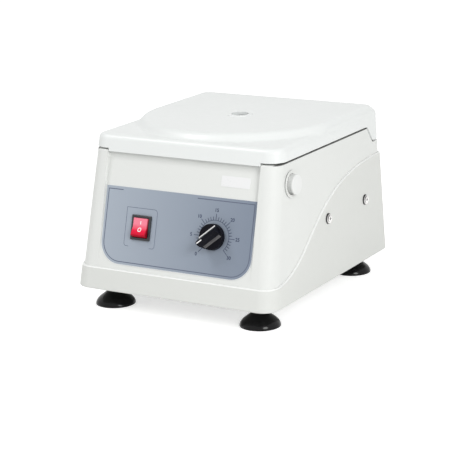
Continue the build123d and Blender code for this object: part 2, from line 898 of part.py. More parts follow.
# Motor housing: a can with a bearing seat in its top and a flange for its mounts
with BuildPart() as motor_housing:
    with BuildSketch(about_spindle()):
        with BuildLine():
            Polyline(
                (motor_shaft_hole_r, motor_top_z),
                (motor_r, motor_top_z),
                (motor_r, motor_flange_z + motor_flange_thickness),
                (motor_flange_r, motor_flange_z + motor_flange_thickness),
                (motor_flange_r, motor_flange_z),
                (motor_r, motor_flange_z),
                (motor_r, motor_low_z + motor_wall),
                (motor_r - motor_wall, motor_low_z + motor_wall),
                (motor_r - motor_wall, motor_top_z - motor_wall),
                (bearing_r + motor_wall, motor_top_z - motor_wall),
                (bearing_r + motor_wall, motor_top_z - bearing_lip - bearing_height),
                (bearing_r, motor_top_z - bearing_lip - bearing_height),
                (bearing_r, motor_top_z - bearing_lip),
                (motor_shaft_hole_r, motor_top_z - bearing_lip),
                close=True,
            )
        make_face()
    revolve(axis=spindle)
    with BuildSketch(Plane.XY.offset(motor_flange_z)):
        with Locations((0, rotor_y)):
            with PolarLocations(motor_mount_circle / 2, motor_mount_count, start_angle=90):
                Circle(small_screw_r + screw_clearance)
    extrude(amount=motor_flange_thickness, mode=Mode.SUBTRACT)
    with BuildSketch(Plane.XY.offset(armature_low_z + armature_height + motor_vent_rise)):
        with Locations((0, rotor_y)):
            with PolarLocations(motor_r, motor_vent_count, start_angle=180 / motor_vent_count):
                Rectangle(4 * motor_wall, motor_vent_width)
    extrude(amount=motor_vent_height, mode=Mode.SUBTRACT)
save(motor_housing, "motor_housing")

with BuildPart() as motor_end_cap:
    with BuildSketch(about_spindle()):
        with BuildLine():
            Polyline(
                (motor_shaft_hole_r, motor_low_z),
                (motor_r, motor_low_z),
                (motor_r, motor_low_z + motor_wall),
                (bearing_r + motor_wall, motor_low_z + motor_wall),
                (bearing_r + motor_wall, motor_low_z + bearing_lip + bearing_height),
                (bearing_r, motor_low_z + bearing_lip + bearing_height),
                (bearing_r, motor_low_z + bearing_lip),
                (motor_shaft_hole_r, motor_low_z + bearing_lip),
                close=True,
            )
        make_face()
    revolve(axis=spindle)
save(motor_end_cap, "motor_end_cap")


with BuildPart() as motor_bearings:
    for low_z in (motor_low_z + bearing_lip, motor_top_z - bearing_lip - bearing_height):
        with BuildSketch(about_spindle()):
            with Locations(((bearing_r + shaft_r + bearing_running_gap) / 2, low_z + bearing_height / 2)):
                Rectangle(bearing_r - shaft_r - bearing_running_gap, bearing_height)
                with Locations((0, bearing_height / 2), (0, -bearing_height / 2)):
                    Rectangle(bearing_seal_width, 2 * bearing_seal_depth, mode=Mode.SUBTRACT)
        revolve(axis=spindle)
save(motor_bearings, "motor_bearings")

# Stator: a laminated ring with eight inward poles
with BuildPart() as motor_stator:
    with BuildSketch(Plane.XY.offset(armature_low_z)):
        with Locations((0, rotor_y)):
            Circle(motor_r - motor_wall)
            Circle(motor_r - motor_wall - stator_rim, mode=Mode.SUBTRACT)
            with PolarLocations((armature_r + air_gap + motor_r - motor_wall) / 2, pole_count):
                Rectangle(motor_r - motor_wall - armature_r - air_gap, pole_width)
            Circle(armature_r + air_gap, mode=Mode.SUBTRACT)
        with Locations((0, rotor_y)):
            Circle(motor_r - motor_wall, mode=Mode.INTERSECT)
    extrude(amount=armature_height)
save(motor_stator, "motor_stator")

with BuildPart() as motor_mounts:
    with BuildSketch(Plane.XY.offset(chassis_top_z)) as mount_rounds:
        with Locations((0, rotor_y)):
            with PolarLocations(motor_mount_circle / 2, motor_mount_count, start_angle=90):
                Circle(motor_mount_r)
                Circle(small_screw_r + screw_clearance, mode=Mode.SUBTRACT)
    extrude(amount=motor_flange_z - chassis_top_z)
save(motor_mounts, "motor_mounts")

with BuildPart() as motor_screws:
    for n in range(motor_mount_count):
        turn = math.radians(90 + n * 360 / motor_mount_count)
        x = motor_mount_circle / 2 * math.cos(turn)
        y = rotor_y + motor_mount_circle / 2 * math.sin(turn)
        seat = Plane(origin=(x, y, motor_flange_z + motor_flange_thickness))
        pan_screw(seat, small_screw_r, motor_screw_length, small_screw_head_r)
save(motor_screws, "motor_screws")

# Turning parts on the spindle: shaft, armature, head, nut and sleeves
with BuildPart() as motor_shaft:
    with Locations((0, rotor_y, shaft_low_z)):
        Cylinder(shaft_r, shaft_top_z - shaft_low_z, align=seated)
    chamfer(motor_shaft.faces().sort_by(Axis.Z)[-1].edges(), turned_edge)
save(motor_shaft, "motor_shaft")

with BuildPart() as motor_armature:
    with BuildSketch(Plane.XY.offset(armature_low_z)):
        with Locations((0, rotor_y)):
            Circle(armature_r)
            Circle(shaft_r + shaft_gap, mode=Mode.SUBTRACT)
            with PolarLocations(armature_r, armature_slots):
                Rectangle(2 * armature_slot_depth, armature_slot_width, mode=Mode.SUBTRACT)
    extrude(amount=armature_height)
save(motor_armature, "motor_armature")

lean = math.radians(sleeve_lean)
sleeve_outer_r = sleeve_bore_r + sleeve_wall
seat_radius = sleeve_top_radius + sleeve_rim_height * math.sin(lean)
seat_z = sleeve_top_z - sleeve_rim_height * math.cos(lean)
dish_inner_z = seat_z + (head_hub_r - seat_radius) * math.tan(lean)
dish_outer_z = seat_z + (head_outer_r - seat_radius) * math.tan(lean)
dish_drop = head_thickness / math.cos(lean)


def sleeve_plane(turn, along=0.0):
    """A plane across a sleeve's axis at a turn round the spindle; its normal leans inward."""
    radius = sleeve_top_radius - along * math.sin(lean)
    height = sleeve_top_z + along * math.cos(lean)
    out = Vector(math.cos(math.radians(turn)), math.sin(math.radians(turn)), 0)
    normal = out * -math.sin(lean) + Vector(0, 0, math.cos(lean))
    place = Vector(0, rotor_y, height) + out * radius
    return Plane(origin=place, x_dir=out.cross(Vector(0, 0, 1)) * -1, z_dir=normal)


sleeve_turns = [90 + n * 360 / sleeve_count for n in range(sleeve_count)]

with BuildPart() as rotor_head:
    with BuildSketch(about_spindle()):
        with BuildLine():
            Polyline(
                (shaft_r + shaft_gap, head_hub_low_z),
                (head_hub_r, head_hub_low_z),
                (head_hub_r, dish_inner_z - dish_drop),
                (head_outer_r, dish_outer_z - dish_drop),
                (head_outer_r, dish_outer_z),
                (head_hub_r, dish_inner_z),
                (head_hub_r, rotor_nut_low_z),
                (shaft_r + shaft_gap, rotor_nut_low_z),
                close=True,
            )
        make_face()
    revolve(axis=spindle)
    for turn in sleeve_turns:
        with Locations(sleeve_plane(turn, -sleeve_rim_height)):
            Cylinder(sleeve_outer_r + head_hole_clearance, 6 * head_thickness, mode=Mode.SUBTRACT)
            Cylinder(sleeve_rim_r + head_hole_clearance, 3 * head_thickness, align=seated, mode=Mode.SUBTRACT)
save(rotor_head, "rotor_head")

with BuildPart() as rotor_nut:
    with BuildSketch(Plane.XY.offset(rotor_nut_low_z)):
        with Locations((0, rotor_y)):
            Circle(rotor_nut_r)
            with PolarLocations(rotor_nut_r, nut_flutes):
                Circle(nut_flute_r, mode=Mode.SUBTRACT)
    extrude(amount=rotor_nut_height)
    chamfer(rotor_nut.faces().sort_by(Axis.Z)[-1].edges(), turned_edge)
    with Locations((0, rotor_y, rotor_nut_low_z)):
        Cylinder(
            shaft_r + shaft_gap,
            shaft_top_z - rotor_nut_low_z + nut_roof_gap,
            align=seated,
            mode=Mode.SUBTRACT,
        )
save(rotor_nut, "rotor_nut")


def tube_sleeve(turn):
    """A thin tube hung by its rim in the rotor head, its end disc bonded in under the cushion."""
    with BuildPart() as sleeve:
        with Locations(sleeve_plane(turn)):
            Cylinder(sleeve_outer_r, sleeve_depth + cushion_height + sleeve_floor, align=hung)
            Cylinder(sleeve_rim_r, sleeve_rim_height, align=hung)
            Cylinder(sleeve_bore_r, sleeve_depth, align=hung, mode=Mode.SUBTRACT)
            Cylinder(cushion_r + cushion_gap, far, align=hung, mode=Mode.SUBTRACT)
        with Locations(sleeve_plane(turn, -sleeve_depth - cushion_height)):
            Cylinder(cushion_r, sleeve_floor, align=hung)
            Cylinder(drain_hole_r, far, mode=Mode.SUBTRACT)
    return sleeve


for n, turn in enumerate(sleeve_turns, 1):
    save(tube_sleeve(turn), f"tube_sleeve_{n}")

with BuildPart() as tube_cushions:
    for turn in sleeve_turns:
        with Locations(sleeve_plane(turn, -sleeve_depth)):
            Cylinder(cushion_r, cushion_height, align=hung)
save(tube_cushions, "tube_cushions")

# Lid shell: a soft-edged cover with a round-fronted crown, a front tongue and rear lobes
lid_shell_low_z = hinge_z - lobe_r
crown_rise = lid_top_z - lid_low_top_z
lid_ceiling_z = lid_low_top_z - lid_wall
crown_ceiling_z = lid_top_z - lid_wall
window_low_z = crown_ceiling_z - window_thickness - window_clearance
window_r = sight_hole_r + sight_tube_wall


def crown_form(low_grow, low_z, high_grow, high_z, mode=Mode.ADD):
    """The crown's block between two outlines: a half round in front, straight behind."""
    outlines = []
    for grow, z in ((low_grow, low_z), (high_grow, high_z)):
        width = crown_half_width + grow
        back = crown_back_y + grow
        with BuildSketch(Plane.XY.offset(z)) as outline:
            with BuildLine():
                ThreePointArc((width, crown_centre_y), (0, crown_centre_y - width), (-width, crown_centre_y))
                Polyline((-width, crown_centre_y), (-width, back), (width, back), (width, crown_centre_y))
            make_face()
            fillet(outline.vertices().group_by(Axis.Y)[-1], crown_corner_r + grow)
        outlines.append(outline.sketch)
    loft(outlines, ruled=True, mode=mode)


with BuildPart() as crown:
    crown_form(crown_rise + crown_foot_drop, lid_low_top_z - crown_foot_drop, 0, lid_top_z)
    fillet(crown.faces().sort_by(Axis.Z)[-1].edges(), crown_edge_r)
    lid_form(0, lid_low_top_z - 2 * crown_foot_drop, lid_top_z + past, mode=Mode.INTERSECT)
    crown_side_x = half_width(lid_top_z) + lid_overhang
    shoulder = []
    for edge in crown.edges():
        low, high = edge.bounding_box().min, edge.bounding_box().max
        along_side = high.Y - low.Y > past and max(abs(low.X), abs(high.X)) > crown_side_x - 2 * past
        if along_side and lid_low_top_z < high.Z < lid_top_z - crown_shoulder_r:
            shoulder.append(edge)
    fillet(shoulder, crown_shoulder_r)

with BuildPart() as crown_void:
    crown_form(crown_rise - crown_void_inset, lid_ceiling_z, -crown_void_inset, crown_ceiling_z)
    lid_form(-lid_wall, lid_ceiling_z - past, lid_top_z, mode=Mode.INTERSECT)

with BuildPart() as lobes:
    with BuildSketch(Plane.YZ) as lobe_side:
        with BuildLine():
            Polyline(
                (lobe_front_top_y, lid_skirt_z),
                (lobe_front_foot_y, lid_shell_low_z),
                (lid_back_y, lid_shell_low_z),
                (lid_back_y, lid_ceiling_z - lid_edge_r),
                (lobe_front_top_y, lid_ceiling_z - lid_edge_r),
                close=True,
            )
        make_face()
        fillet(lobe_side.vertices().group_by(Axis.Y)[0].sort_by(Axis.X)[-1], lobe_r)
        fillet(lobe_side.vertices().group_by(Axis.Y)[0].sort_by(Axis.X)[0], lobe_front_r)
    extrude(amount=far, both=True)
    lid_form(0, lid_shell_low_z - past, lid_ceiling_z, mode=Mode.INTERSECT)

with BuildPart() as tongue:
    lid_form(0, deck_z - tongue_drop, lid_skirt_z + lid_wall)
    with Locations((0, lid_back_y, deck_z)):
        Box(far, 2 * (lid_back_y - front_y(deck_z) - lid_front_set - lid_wall), far, mode=Mode.SUBTRACT)
    with Locations((0, 0, deck_z)):
        Box(2 * tongue_half_width, far, far, mode=Mode.INTERSECT)

with BuildPart() as lid_shell:
    lid_form(0, lid_skirt_z, lid_low_top_z)
    fillet(lid_shell.faces().sort_by(Axis.Z)[-1].edges(), lid_edge_r)
    add(crown.part)
    low_arcs = lid_shell.edges().filter_by(GeomType.CIRCLE).filter_by_position(
        Axis.Z, lid_low_top_z - past, lid_low_top_z + past
    )
    fillet(low_arcs.sort_by(SortBy.LENGTH)[-1], crown_foot_r)
    add(lobes.part)
    lid_form(-lid_wall, lid_shell_low_z - past, lid_ceiling_z, mode=Mode.SUBTRACT)
    add(crown_void.part, mode=Mode.SUBTRACT)
    add(tongue.part)
    with Locations((0, rotor_y, lid_top_z)):
        Cylinder(sight_ring_r, sight_ring_height, align=seated)
    fillet(lid_shell.faces().sort_by(Axis.Z)[-1].edges(), sight_ring_edge_r)
    with Locations((0, rotor_y, window_low_z)):
        Cylinder(window_r + window_clearance + sight_tube_wall, 2 * window_thickness, align=seated)
        Cylinder(
            window_r + window_clearance,
            window_thickness + window_clearance,
            align=seated,
            mode=Mode.SUBTRACT,
        )
        Cylinder(sight_hole_r, far, mode=Mode.SUBTRACT)
    with BuildSketch(Plane.XY.offset(liner_top_z)):
        with Locations(*liner_screw_places):
            Circle(liner_boss_r)
    extrude(until=Until.NEXT)
    with BuildSketch(Plane.XY.offset(liner_top_z)):
        with Locations(*liner_screw_places):
            Circle(small_screw_r)
    extrude(amount=liner_screw_depth, mode=Mode.SUBTRACT)
    for side in (1, -1):
        with Locations((side * hinge_x, lid_leaf_face_y, lid_leaf_low_z)):
            Box(
                hinge_leaf_width,
                lid_back_y - lid_wall / 2 - lid_leaf_face_y,
                lid_leaf_height,
                align=(Align.CENTER, Align.MIN, Align.MIN),
            )
    for x in hinge_screw_xs:
        with Locations(facing_front(x, lid_leaf_face_y, lid_leaf_screw_z)):
            Cylinder(small_screw_r, lid_leaf_screw_length, align=hung, mode=Mode.SUBTRACT)
save(lid_shell, "lid_shell")

# Lid liner: a flat plate inside the lid with the sight tube and the interlock pin
with BuildPart() as lid_liner:
    lid_form(-lid_wall - liner_gap, liner_low_z, liner_top_z)
    with Locations((0, liner_back_y, liner_low_z)):
        Box(far, far, far, align=(Align.CENTER, Align.MIN, Align.CENTER), mode=Mode.SUBTRACT)
    with Locations((0, rotor_y, liner_low_z)):
        Cylinder(sight_hole_r + sight_tube_wall, window_low_z - liner_low_z, align=seated)
        Cylinder(sight_hole_r, far, mode=Mode.SUBTRACT)
        Cylinder(gasket_r + gasket_width, gasket_seat, align=seated, mode=Mode.SUBTRACT)
        Cylinder(gasket_r, gasket_seat, align=seated)
        Cylinder(sight_hole_r, far, mode=Mode.SUBTRACT)
    with Locations((interlock_x, interlock_y, interlock_pin_tip_z)):
        Cylinder(interlock_pin_r, liner_low_z - interlock_pin_tip_z, align=seated)
    with BuildSketch(Plane.XY.offset(liner_low_z)):
        with Locations((striker_x, striker_y)):
            Rectangle(striker_thickness + 2 * striker_gap, striker_width + 2 * striker_gap)
        with Locations(*liner_screw_places, *striker_screw_places):
            Circle(small_screw_r + screw_clearance)
    extrude(amount=liner_thickness, mode=Mode.SUBTRACT)
save(lid_liner, "lid_liner")

with BuildPart() as liner_screws:
    for x, y in liner_screw_places + striker_screw_places:
        seat = Plane(origin=(x, y, liner_low_z), z_dir=(0, 0, -1))
        pan_screw(seat, small_screw_r, liner_screw_length, small_screw_head_r)
save(liner_screws, "liner_screws")

with BuildPart() as lid_gasket:
    with BuildSketch(Plane.XY.offset(gasket_low_z)):
        with Locations((0, rotor_y)):
            Circle(gasket_r + gasket_width)
            Circle(gasket_r, mode=Mode.SUBTRACT)
    extrude(amount=gasket_proud + gasket_seat)
    fillet(lid_gasket.faces().sort_by(Axis.Z)[0].edges(), gasket_edge_r)
save(lid_gasket, "lid_gasket")

with BuildPart() as sight_window:
    with Locations((0, rotor_y, window_low_z)):
        Cylinder(window_r, window_thickness, align=seated)
save(sight_window, "sight_window")

# Striker: bent strip with a window, hanging from the liner through the deck
with BuildPart() as lid_striker:
    with Locations((striker_x + striker_thickness / 2, striker_y, striker_tip_z)):
        Box(
            striker_thickness,
            striker_width,
            liner_top_z + striker_thickness - striker_tip_z,
            align=(Align.MAX, Align.CENTER, Align.MIN),
        )
    with Locations((striker_x + striker_thickness / 2, striker_y, liner_top_z)):
        Box(striker_foot, striker_width, striker_thickness, align=(Align.MAX, Align.CENTER, Align.MIN))
    with BuildSketch(facing_right(striker_x, striker_y, striker_window_z)):
        Rectangle(striker_window, striker_window)
    extrude(amount=striker_thickness, both=True, mode=Mode.SUBTRACT)
    with BuildSketch(Plane.XY.offset(liner_top_z)):
        with Locations(*striker_screw_places):
            Circle(small_screw_r)
    extrude(amount=striker_thickness, mode=Mode.SUBTRACT)
save(lid_striker, "lid_striker")


def body_hinge_leaf(side):
    """A strap on the deck that bends down to the hinge's middle knuckle."""
    with BuildPart() as leaf:
        top = deck_z + hinge_leaf_thickness
        side_cut(
            [
                (hinge_leaf_front_y, deck_z),
                (hinge_leaf_bend_y, deck_z),
                (hinge_leaf_drop_y, hinge_z + hinge_knuckle_r - hinge_leaf_thickness),
                (hinge_y, hinge_z + hinge_knuckle_r - hinge_leaf_thickness),
                (hinge_y, hinge_z + hinge_knuckle_r),
                (hinge_leaf_drop_y + hinge_bend_gap, hinge_z + hinge_knuckle_r),
                (hinge_leaf_bend_y + hinge_bend_gap, top),
                (hinge_leaf_front_y, top),
            ],
            hinge_leaf_width / 2,
            Mode.ADD,
        )
        with Locations((0, hinge_y - hinge_knuckle_r - hinge_side_gap, hinge_z)):
            for edge in (Align.MIN, Align.MAX):
                out = 1 if edge == Align.MIN else -1
                beside = (edge, Align.MIN, Align.CENTER)
                with Locations((out * hinge_knuckle_width / 2, 0, 0)):
                    Box(far, far, 4 * hinge_knuckle_r, align=beside, mode=Mode.SUBTRACT)
        with Locations(facing_right(0, hinge_y, hinge_z)):
            Cylinder(hinge_knuckle_r, hinge_knuckle_width)
            Cylinder(hinge_pin_r + hinge_running_gap, far, mode=Mode.SUBTRACT)
        with Locations(*[(x, hinge_screw_y, top) for x in (-hinge_screw_step, hinge_screw_step)]):
            CounterSinkHole(hole_r, hole_head_r, 4 * hinge_leaf_thickness)
    leaf.part = leaf.part.moved(Location((side * hinge_x, 0, 0)))
    return leaf


def lid_hinge_leaf(side):
    """A strap on the lid's back wall with the hinge's two outer knuckles."""
    with BuildPart() as leaf:
        side_cut(
            [
                (lid_leaf_face_y, hinge_z),
                (lid_leaf_face_y, lid_leaf_low_z + lid_leaf_height),
                (lid_leaf_face_y - hinge_leaf_thickness, lid_leaf_low_z + lid_leaf_height),
                (lid_leaf_face_y - hinge_leaf_thickness, hinge_z),
            ],
            hinge_leaf_width / 2,
            Mode.ADD,
        )
        with Locations(facing_right(0, hinge_y, hinge_z)):
            Cylinder(hinge_knuckle_r, hinge_leaf_width)
            Cylinder(hinge_pin_r, far, mode=Mode.SUBTRACT)
        with Locations((0, hinge_y, hinge_z)):
            Box(
                hinge_knuckle_width + 2 * hinge_side_gap,
                far,
                2 * hinge_knuckle_r + 2 * hinge_side_gap,
                mode=Mode.SUBTRACT,
            )
        for x in (-hinge_screw_step, hinge_screw_step):
            with Locations(facing_front(x, lid_leaf_face_y - hinge_leaf_thickness, lid_leaf_screw_z)):
                CounterSinkHole(hole_r, hole_head_r, 4 * hinge_leaf_thickness)
    leaf.part = leaf.part.moved(Location((side * hinge_x, 0, 0)))
    return leaf


# Hinges: one strap pair on each side, with a plain pin
hinge_leaf_left = body_hinge_leaf(-1)
save(hinge_leaf_left, "hinge_leaf_left")
hinge_leaf_right = body_hinge_leaf(1)
save(hinge_leaf_right, "hinge_leaf_right")
lid_leaf_left = lid_hinge_leaf(-1)
save(lid_leaf_left, "lid_leaf_left")
lid_leaf_right = lid_hinge_leaf(1)
save(lid_leaf_right, "lid_leaf_right")

with BuildPart() as hinge_pins:
    for side in (1, -1):
        with Locations(facing_right(side * hinge_x, hinge_y, hinge_z)):
            Cylinder(hinge_pin_r, hinge_leaf_width)
save(hinge_pins, "hinge_pins")

with BuildPart() as hinge_screws:
    for x in hinge_screw_xs:
        flush_screw(Plane(origin=(x, hinge_screw_y, deck_z + hinge_leaf_thickness)), hinge_screw_length)
save(hinge_screws, "hinge_screws")

with BuildPart() as lid_leaf_screws:
    for x in hinge_screw_xs:
        seat = facing_front(x, lid_leaf_face_y - hinge_leaf_thickness, lid_leaf_screw_z)
        flush_screw(seat, lid_leaf_screw_length)
save(lid_leaf_screws, "lid_leaf_screws")

# Rocker switch: frame with bezel, terminals and the tilting rocker
window_width = rocker_width + 2 * rocker_gap
window_height = 2 * (rocker_r + rocker_gap)
bezel_low = overlay_thickness
with BuildPart() as switch_frame:
    with BuildSketch(on_panel(switch_x, switch_drop, bezel_low)):
        RectangleRounded(switch_bezel_width, switch_bezel_height, switch_bezel_corner_r)
    extrude(amount=switch_bezel_thickness)
    fillet(switch_frame.faces().sort_by(Axis(overlay_top, panel_normal))[-1].edges(), switch_bezel_edge_r)
    with BuildSketch(on_panel(switch_x, switch_drop, bezel_low)):
        Rectangle(switch_body_width, switch_body_height)
    extrude(amount=-switch_body_depth)
    with BuildSketch(on_panel(switch_x, switch_drop, bezel_low + switch_bezel_thickness)):
        Rectangle(window_width, window_height)
    extrude(amount=-switch_well_depth, mode=Mode.SUBTRACT)
    with Locations(rocker_plane):
        Cylinder(
            rocker_pivot_r + rocker_pivot_gap,
            rocker_width + 2 * rocker_pivot_length + rocker_gap,
            mode=Mode.SUBTRACT,
        )
save(switch_frame, "switch_frame")

with BuildPart() as switch_terminals:
    with BuildSketch(on_panel(switch_x, switch_drop, bezel_low - switch_body_depth)):
        with GridLocations(terminal_pitch_x, terminal_pitch_y, 2, 2):
            Rectangle(terminal_thickness, terminal_width)
    extrude(amount=-terminal_length)
save(switch_terminals, "switch_terminals")

with BuildPart() as rocker:
    with BuildSketch(rocker_plane):
        Circle(rocker_r)
        with BuildLine():
            Polyline(
                (-rocker_r, rocker_crest),
                (0, rocker_valley),
                (rocker_r, rocker_crest),
                (rocker_r, -rocker_depth),
                (-rocker_r, -rocker_depth),
                close=True,
            )
        make_face(mode=Mode.INTERSECT)
    extrude(amount=rocker_width / 2, both=True)
    crests = rocker.edges().filter_by(Axis.X).sort_by(Axis(overlay_top, panel_normal))
    fillet([crests[-1], crests[-2]], rocker_edge_r)
    with Locations(rocker_plane):
        Cylinder(rocker_pivot_r, rocker_width + 2 * rocker_pivot_length)
save(rocker, "rocker")

# Timer: body behind the panel, bush and nut through it, shaft and pointer knob in front
with BuildPart() as timer_body:
    with BuildSketch(on_panel(timer_x, timer_drop, -casing_wall)):
        RectangleRounded(timer_body_size, timer_body_size, timer_body_corner_r)
    extrude(amount=-timer_body_depth)
    with Locations(on_panel(timer_x, timer_drop, -casing_wall)):
        Cylinder(timer_bush_r, timer_bush_length, align=seated)
        Cylinder(timer_shaft_r + timer_shaft_gap, 2 * timer_shaft_depth, mode=Mode.SUBTRACT)
save(timer_body, "timer_body")

with BuildPart() as timer_nut:
    with BuildSketch(on_panel(timer_x, timer_drop, overlay_thickness)):
        RegularPolygon(timer_nut_r, 6)
        Circle(timer_bush_r, mode=Mode.SUBTRACT)
    extrude(amount=timer_nut_height)
save(timer_nut, "timer_nut")

with BuildPart() as timer_shaft:
    with Locations(on_panel(timer_x, timer_drop, timer_shaft_low)):
        Cylinder(timer_shaft_r, knob_low + knob_grip_height - knob_roof - timer_shaft_low, align=seated)
save(timer_shaft, "timer_shaft")

knob_plane = on_panel(timer_x, timer_drop, knob_low).moved(Rotation(0, 0, knob_rest_turn))
knob_across = Plane(origin=knob_plane.origin, x_dir=knob_plane.y_dir, z_dir=knob_plane.x_dir)
with BuildPart() as knob_grip:
    with BuildSketch(knob_across.offset(-knob_grip_back)):
        with BuildLine():
            Polyline(
                (-knob_grip_width / 2 - knob_toe, knob_skirt_height - past),
                (-knob_grip_width / 2 - knob_toe, knob_skirt_height),
                (-knob_grip_width / 2, knob_skirt_height + knob_toe),
                (-knob_ridge_width / 2, knob_grip_height),
                (knob_ridge_width / 2, knob_grip_height),
                (knob_grip_width / 2, knob_skirt_height + knob_toe),
                (knob_grip_width / 2 + knob_toe, knob_skirt_height),
                (knob_grip_width / 2 + knob_toe, knob_skirt_height - past),
                close=True,
            )
        make_face()
    extrude(amount=knob_grip_back + knob_grip_front)
    fillet(knob_grip.faces().sort_by(Axis(knob_plane.origin, panel_normal))[-1].edges(), knob_ridge_r)
    with Locations(knob_plane):
        Cylinder(knob_skirt_r, knob_grip_height, align=seated, mode=Mode.INTERSECT)

with BuildPart() as timer_knob:
    with Locations(knob_plane):
        Cone(knob_skirt_r, knob_skirt_r - knob_skirt_draft, knob_skirt_height, align=seated)
    fillet(timer_knob.edges().group_by(Axis(knob_plane.origin, panel_normal))[-1], knob_edge_r)
    add(knob_grip.part)
    with Locations(knob_plane):
        Cylinder(timer_nut_r + knob_nut_gap, knob_hollow, align=seated, mode=Mode.SUBTRACT)
        Cylinder(timer_shaft_r, knob_grip_height - knob_roof, align=seated, mode=Mode.SUBTRACT)
save(timer_knob, "timer_knob")

# Release button: cap, flange and stem behind a ring in the side wall
with BuildPart() as button_bezel:
    with Locations(on_side(1, button_y, button_z)):
        Cylinder(bezel_r, bezel_proud, align=seated)
        Cylinder(button_flange_r, casing_wall, align=hung)
        Cylinder(button_r + button_gap, 4 * casing_wall, mode=Mode.SUBTRACT)
save(button_bezel, "button_bezel")

with BuildPart() as release_button:
    with Locations(on_side(1, button_y, button_z, button_proud)):
        Cylinder(button_r, button_proud + casing_wall + button_gap, align=hung)
    outer_face = release_button.faces().sort_by(Axis(button_plane.origin, side_normal))[-1]
    fillet(outer_face.edges(), button_edge_r)
    with Locations(on_side(1, button_y, button_z, -casing_wall - button_gap)):
        Cylinder(button_flange_r, button_flange_thickness, align=hung)
        Cylinder(button_stem_r, button_stem_length, align=hung)
save(release_button, "release_button")

# Latch: bracket under the deck with a spring leaf that hooks the striker
with BuildPart() as latch_bracket:
    with Locations((latch_face_x, latch_middle_y, deck_z - casing_wall)):
        Box(bracket_foot, latch_span, bracket_thickness, align=top_right)
        Box(bracket_thickness, latch_span, deck_z - casing_wall - bracket_low_z, align=top_right)
    with BuildSketch(Plane.XY.offset(deck_z - casing_wall)):
        with Locations(*bracket_screw_places):
            Circle(small_screw_r + screw_clearance)
    extrude(amount=-bracket_thickness, mode=Mode.SUBTRACT)
    with BuildSketch(facing_right(latch_face_x, latch_middle_y, leaf_screw_z)):
        with GridLocations(leaf_screw_pitch, 1, 2, 1):
            Circle(small_screw_r)
    extrude(amount=-bracket_thickness, mode=Mode.SUBTRACT)
save(latch_bracket, "latch_bracket")

with BuildPart() as latch_screws:
    for x, y in bracket_screw_places:
        seat = Plane(origin=(x, y, deck_z - casing_wall - bracket_thickness), z_dir=(0, 0, -1))
        pan_screw(seat, small_screw_r, latch_screw_length, small_screw_head_r)
    for y in (latch_middle_y - leaf_screw_pitch / 2, latch_middle_y + leaf_screw_pitch / 2):
        seat = facing_right(latch_face_x + leaf_thickness, y, leaf_screw_z)
        pan_screw(seat, small_screw_r, latch_screw_length, small_screw_head_r)
save(latch_screws, "latch_screws")

with BuildPart() as latch_leaf:
    with BuildSketch(Plane.XZ.offset(-latch_middle_y)) as leaf_side:
        with BuildLine() as leaf_line:
            Polyline(
                (latch_face_x + leaf_thickness / 2, bracket_low_z),
                (latch_face_x + leaf_thickness / 2, leaf_bend_z),
                (leaf_push_x, leaf_push_low_z),
                (leaf_push_x, leaf_tip_z),
            )
            offset(amount=leaf_thickness / 2, side=Side.BOTH)
        make_face()
    extrude(amount=latch_span / 2, both=True)
    with Locations((leaf_push_x, striker_y, (leaf_catch_z + leaf_nose_top_z) / 2)):
        window_width = leaf_width + 2 * leaf_window_gap
        Box(striker_width, window_width, leaf_nose_top_z - leaf_catch_z, mode=Mode.SUBTRACT)
    with BuildSketch(Plane.XZ.offset(-striker_y)):
        with BuildLine() as nose_line:
            Polyline(
                (leaf_push_x, leaf_catch_z - leaf_nose_root),
                (leaf_push_x, leaf_catch_z + leaf_thickness / 2),
                (leaf_nose_x, leaf_catch_z + leaf_thickness / 2),
                (leaf_push_x, leaf_nose_top_z),
                (leaf_push_x, leaf_nose_top_z + leaf_nose_root),
            )
            offset(amount=leaf_thickness / 2, side=Side.BOTH)
        make_face()
    extrude(amount=leaf_width / 2, both=True)
    with BuildSketch(facing_right(latch_face_x, latch_middle_y, leaf_screw_z)):
        with GridLocations(leaf_screw_pitch, 1, 2, 1):
            Circle(small_screw_r + screw_clearance)
    extrude(amount=2 * leaf_thickness, mode=Mode.SUBTRACT)
save(latch_leaf, "latch_leaf")

# Interlock: a small switch on a rib under the deck, worked by the liner's pin
with BuildPart() as interlock_switch:
    with Locations((interlock_rib_x, interlock_switch_y, interlock_switch_top_z)):
        Box(interlock_switch_width, interlock_switch_length, interlock_switch_height, align=top_right)
    tab_x = interlock_rib_x - interlock_switch_width / 2
    with Locations((tab_x, interlock_switch_y, interlock_switch_top_z - interlock_switch_height)):
        with GridLocations(1, interlock_switch_length / 3, 1, 3):
            Box(interlock_tab_thickness, interlock_tab_width, interlock_tab_length, align=hung)
    with BuildSketch(facing_right(interlock_rib_x, interlock_switch_y, interlock_peg_z)):
        with GridLocations(interlock_peg_pitch, 1, 2, 1):
            Circle(interlock_peg_r)
    extrude(amount=-interlock_switch_width, mode=Mode.SUBTRACT)
save(interlock_switch, "interlock_switch")

lever_end_y = interlock_switch_y + interlock_switch_length / 2
lever_pad_z = interlock_pin_tip_z - interlock_lever_gap - leaf_thickness / 2
with BuildPart() as interlock_lever:
    with BuildSketch(Plane.YZ.offset(interlock_rib_x - interlock_switch_width / 2)):
        with BuildLine():
            Polyline(
                (lever_end_y - interlock_lever_tail, interlock_switch_top_z + leaf_thickness / 2),
                (lever_end_y - interlock_lever_root, interlock_switch_top_z + leaf_thickness / 2),
                (interlock_y, lever_pad_z),
                (interlock_y - interlock_pin_r, lever_pad_z),
            )
            offset(amount=leaf_thickness / 2, side=Side.BOTH)
        make_face()
    extrude(amount=interlock_lever_width / 2, both=True)
save(interlock_lever, "interlock_lever")

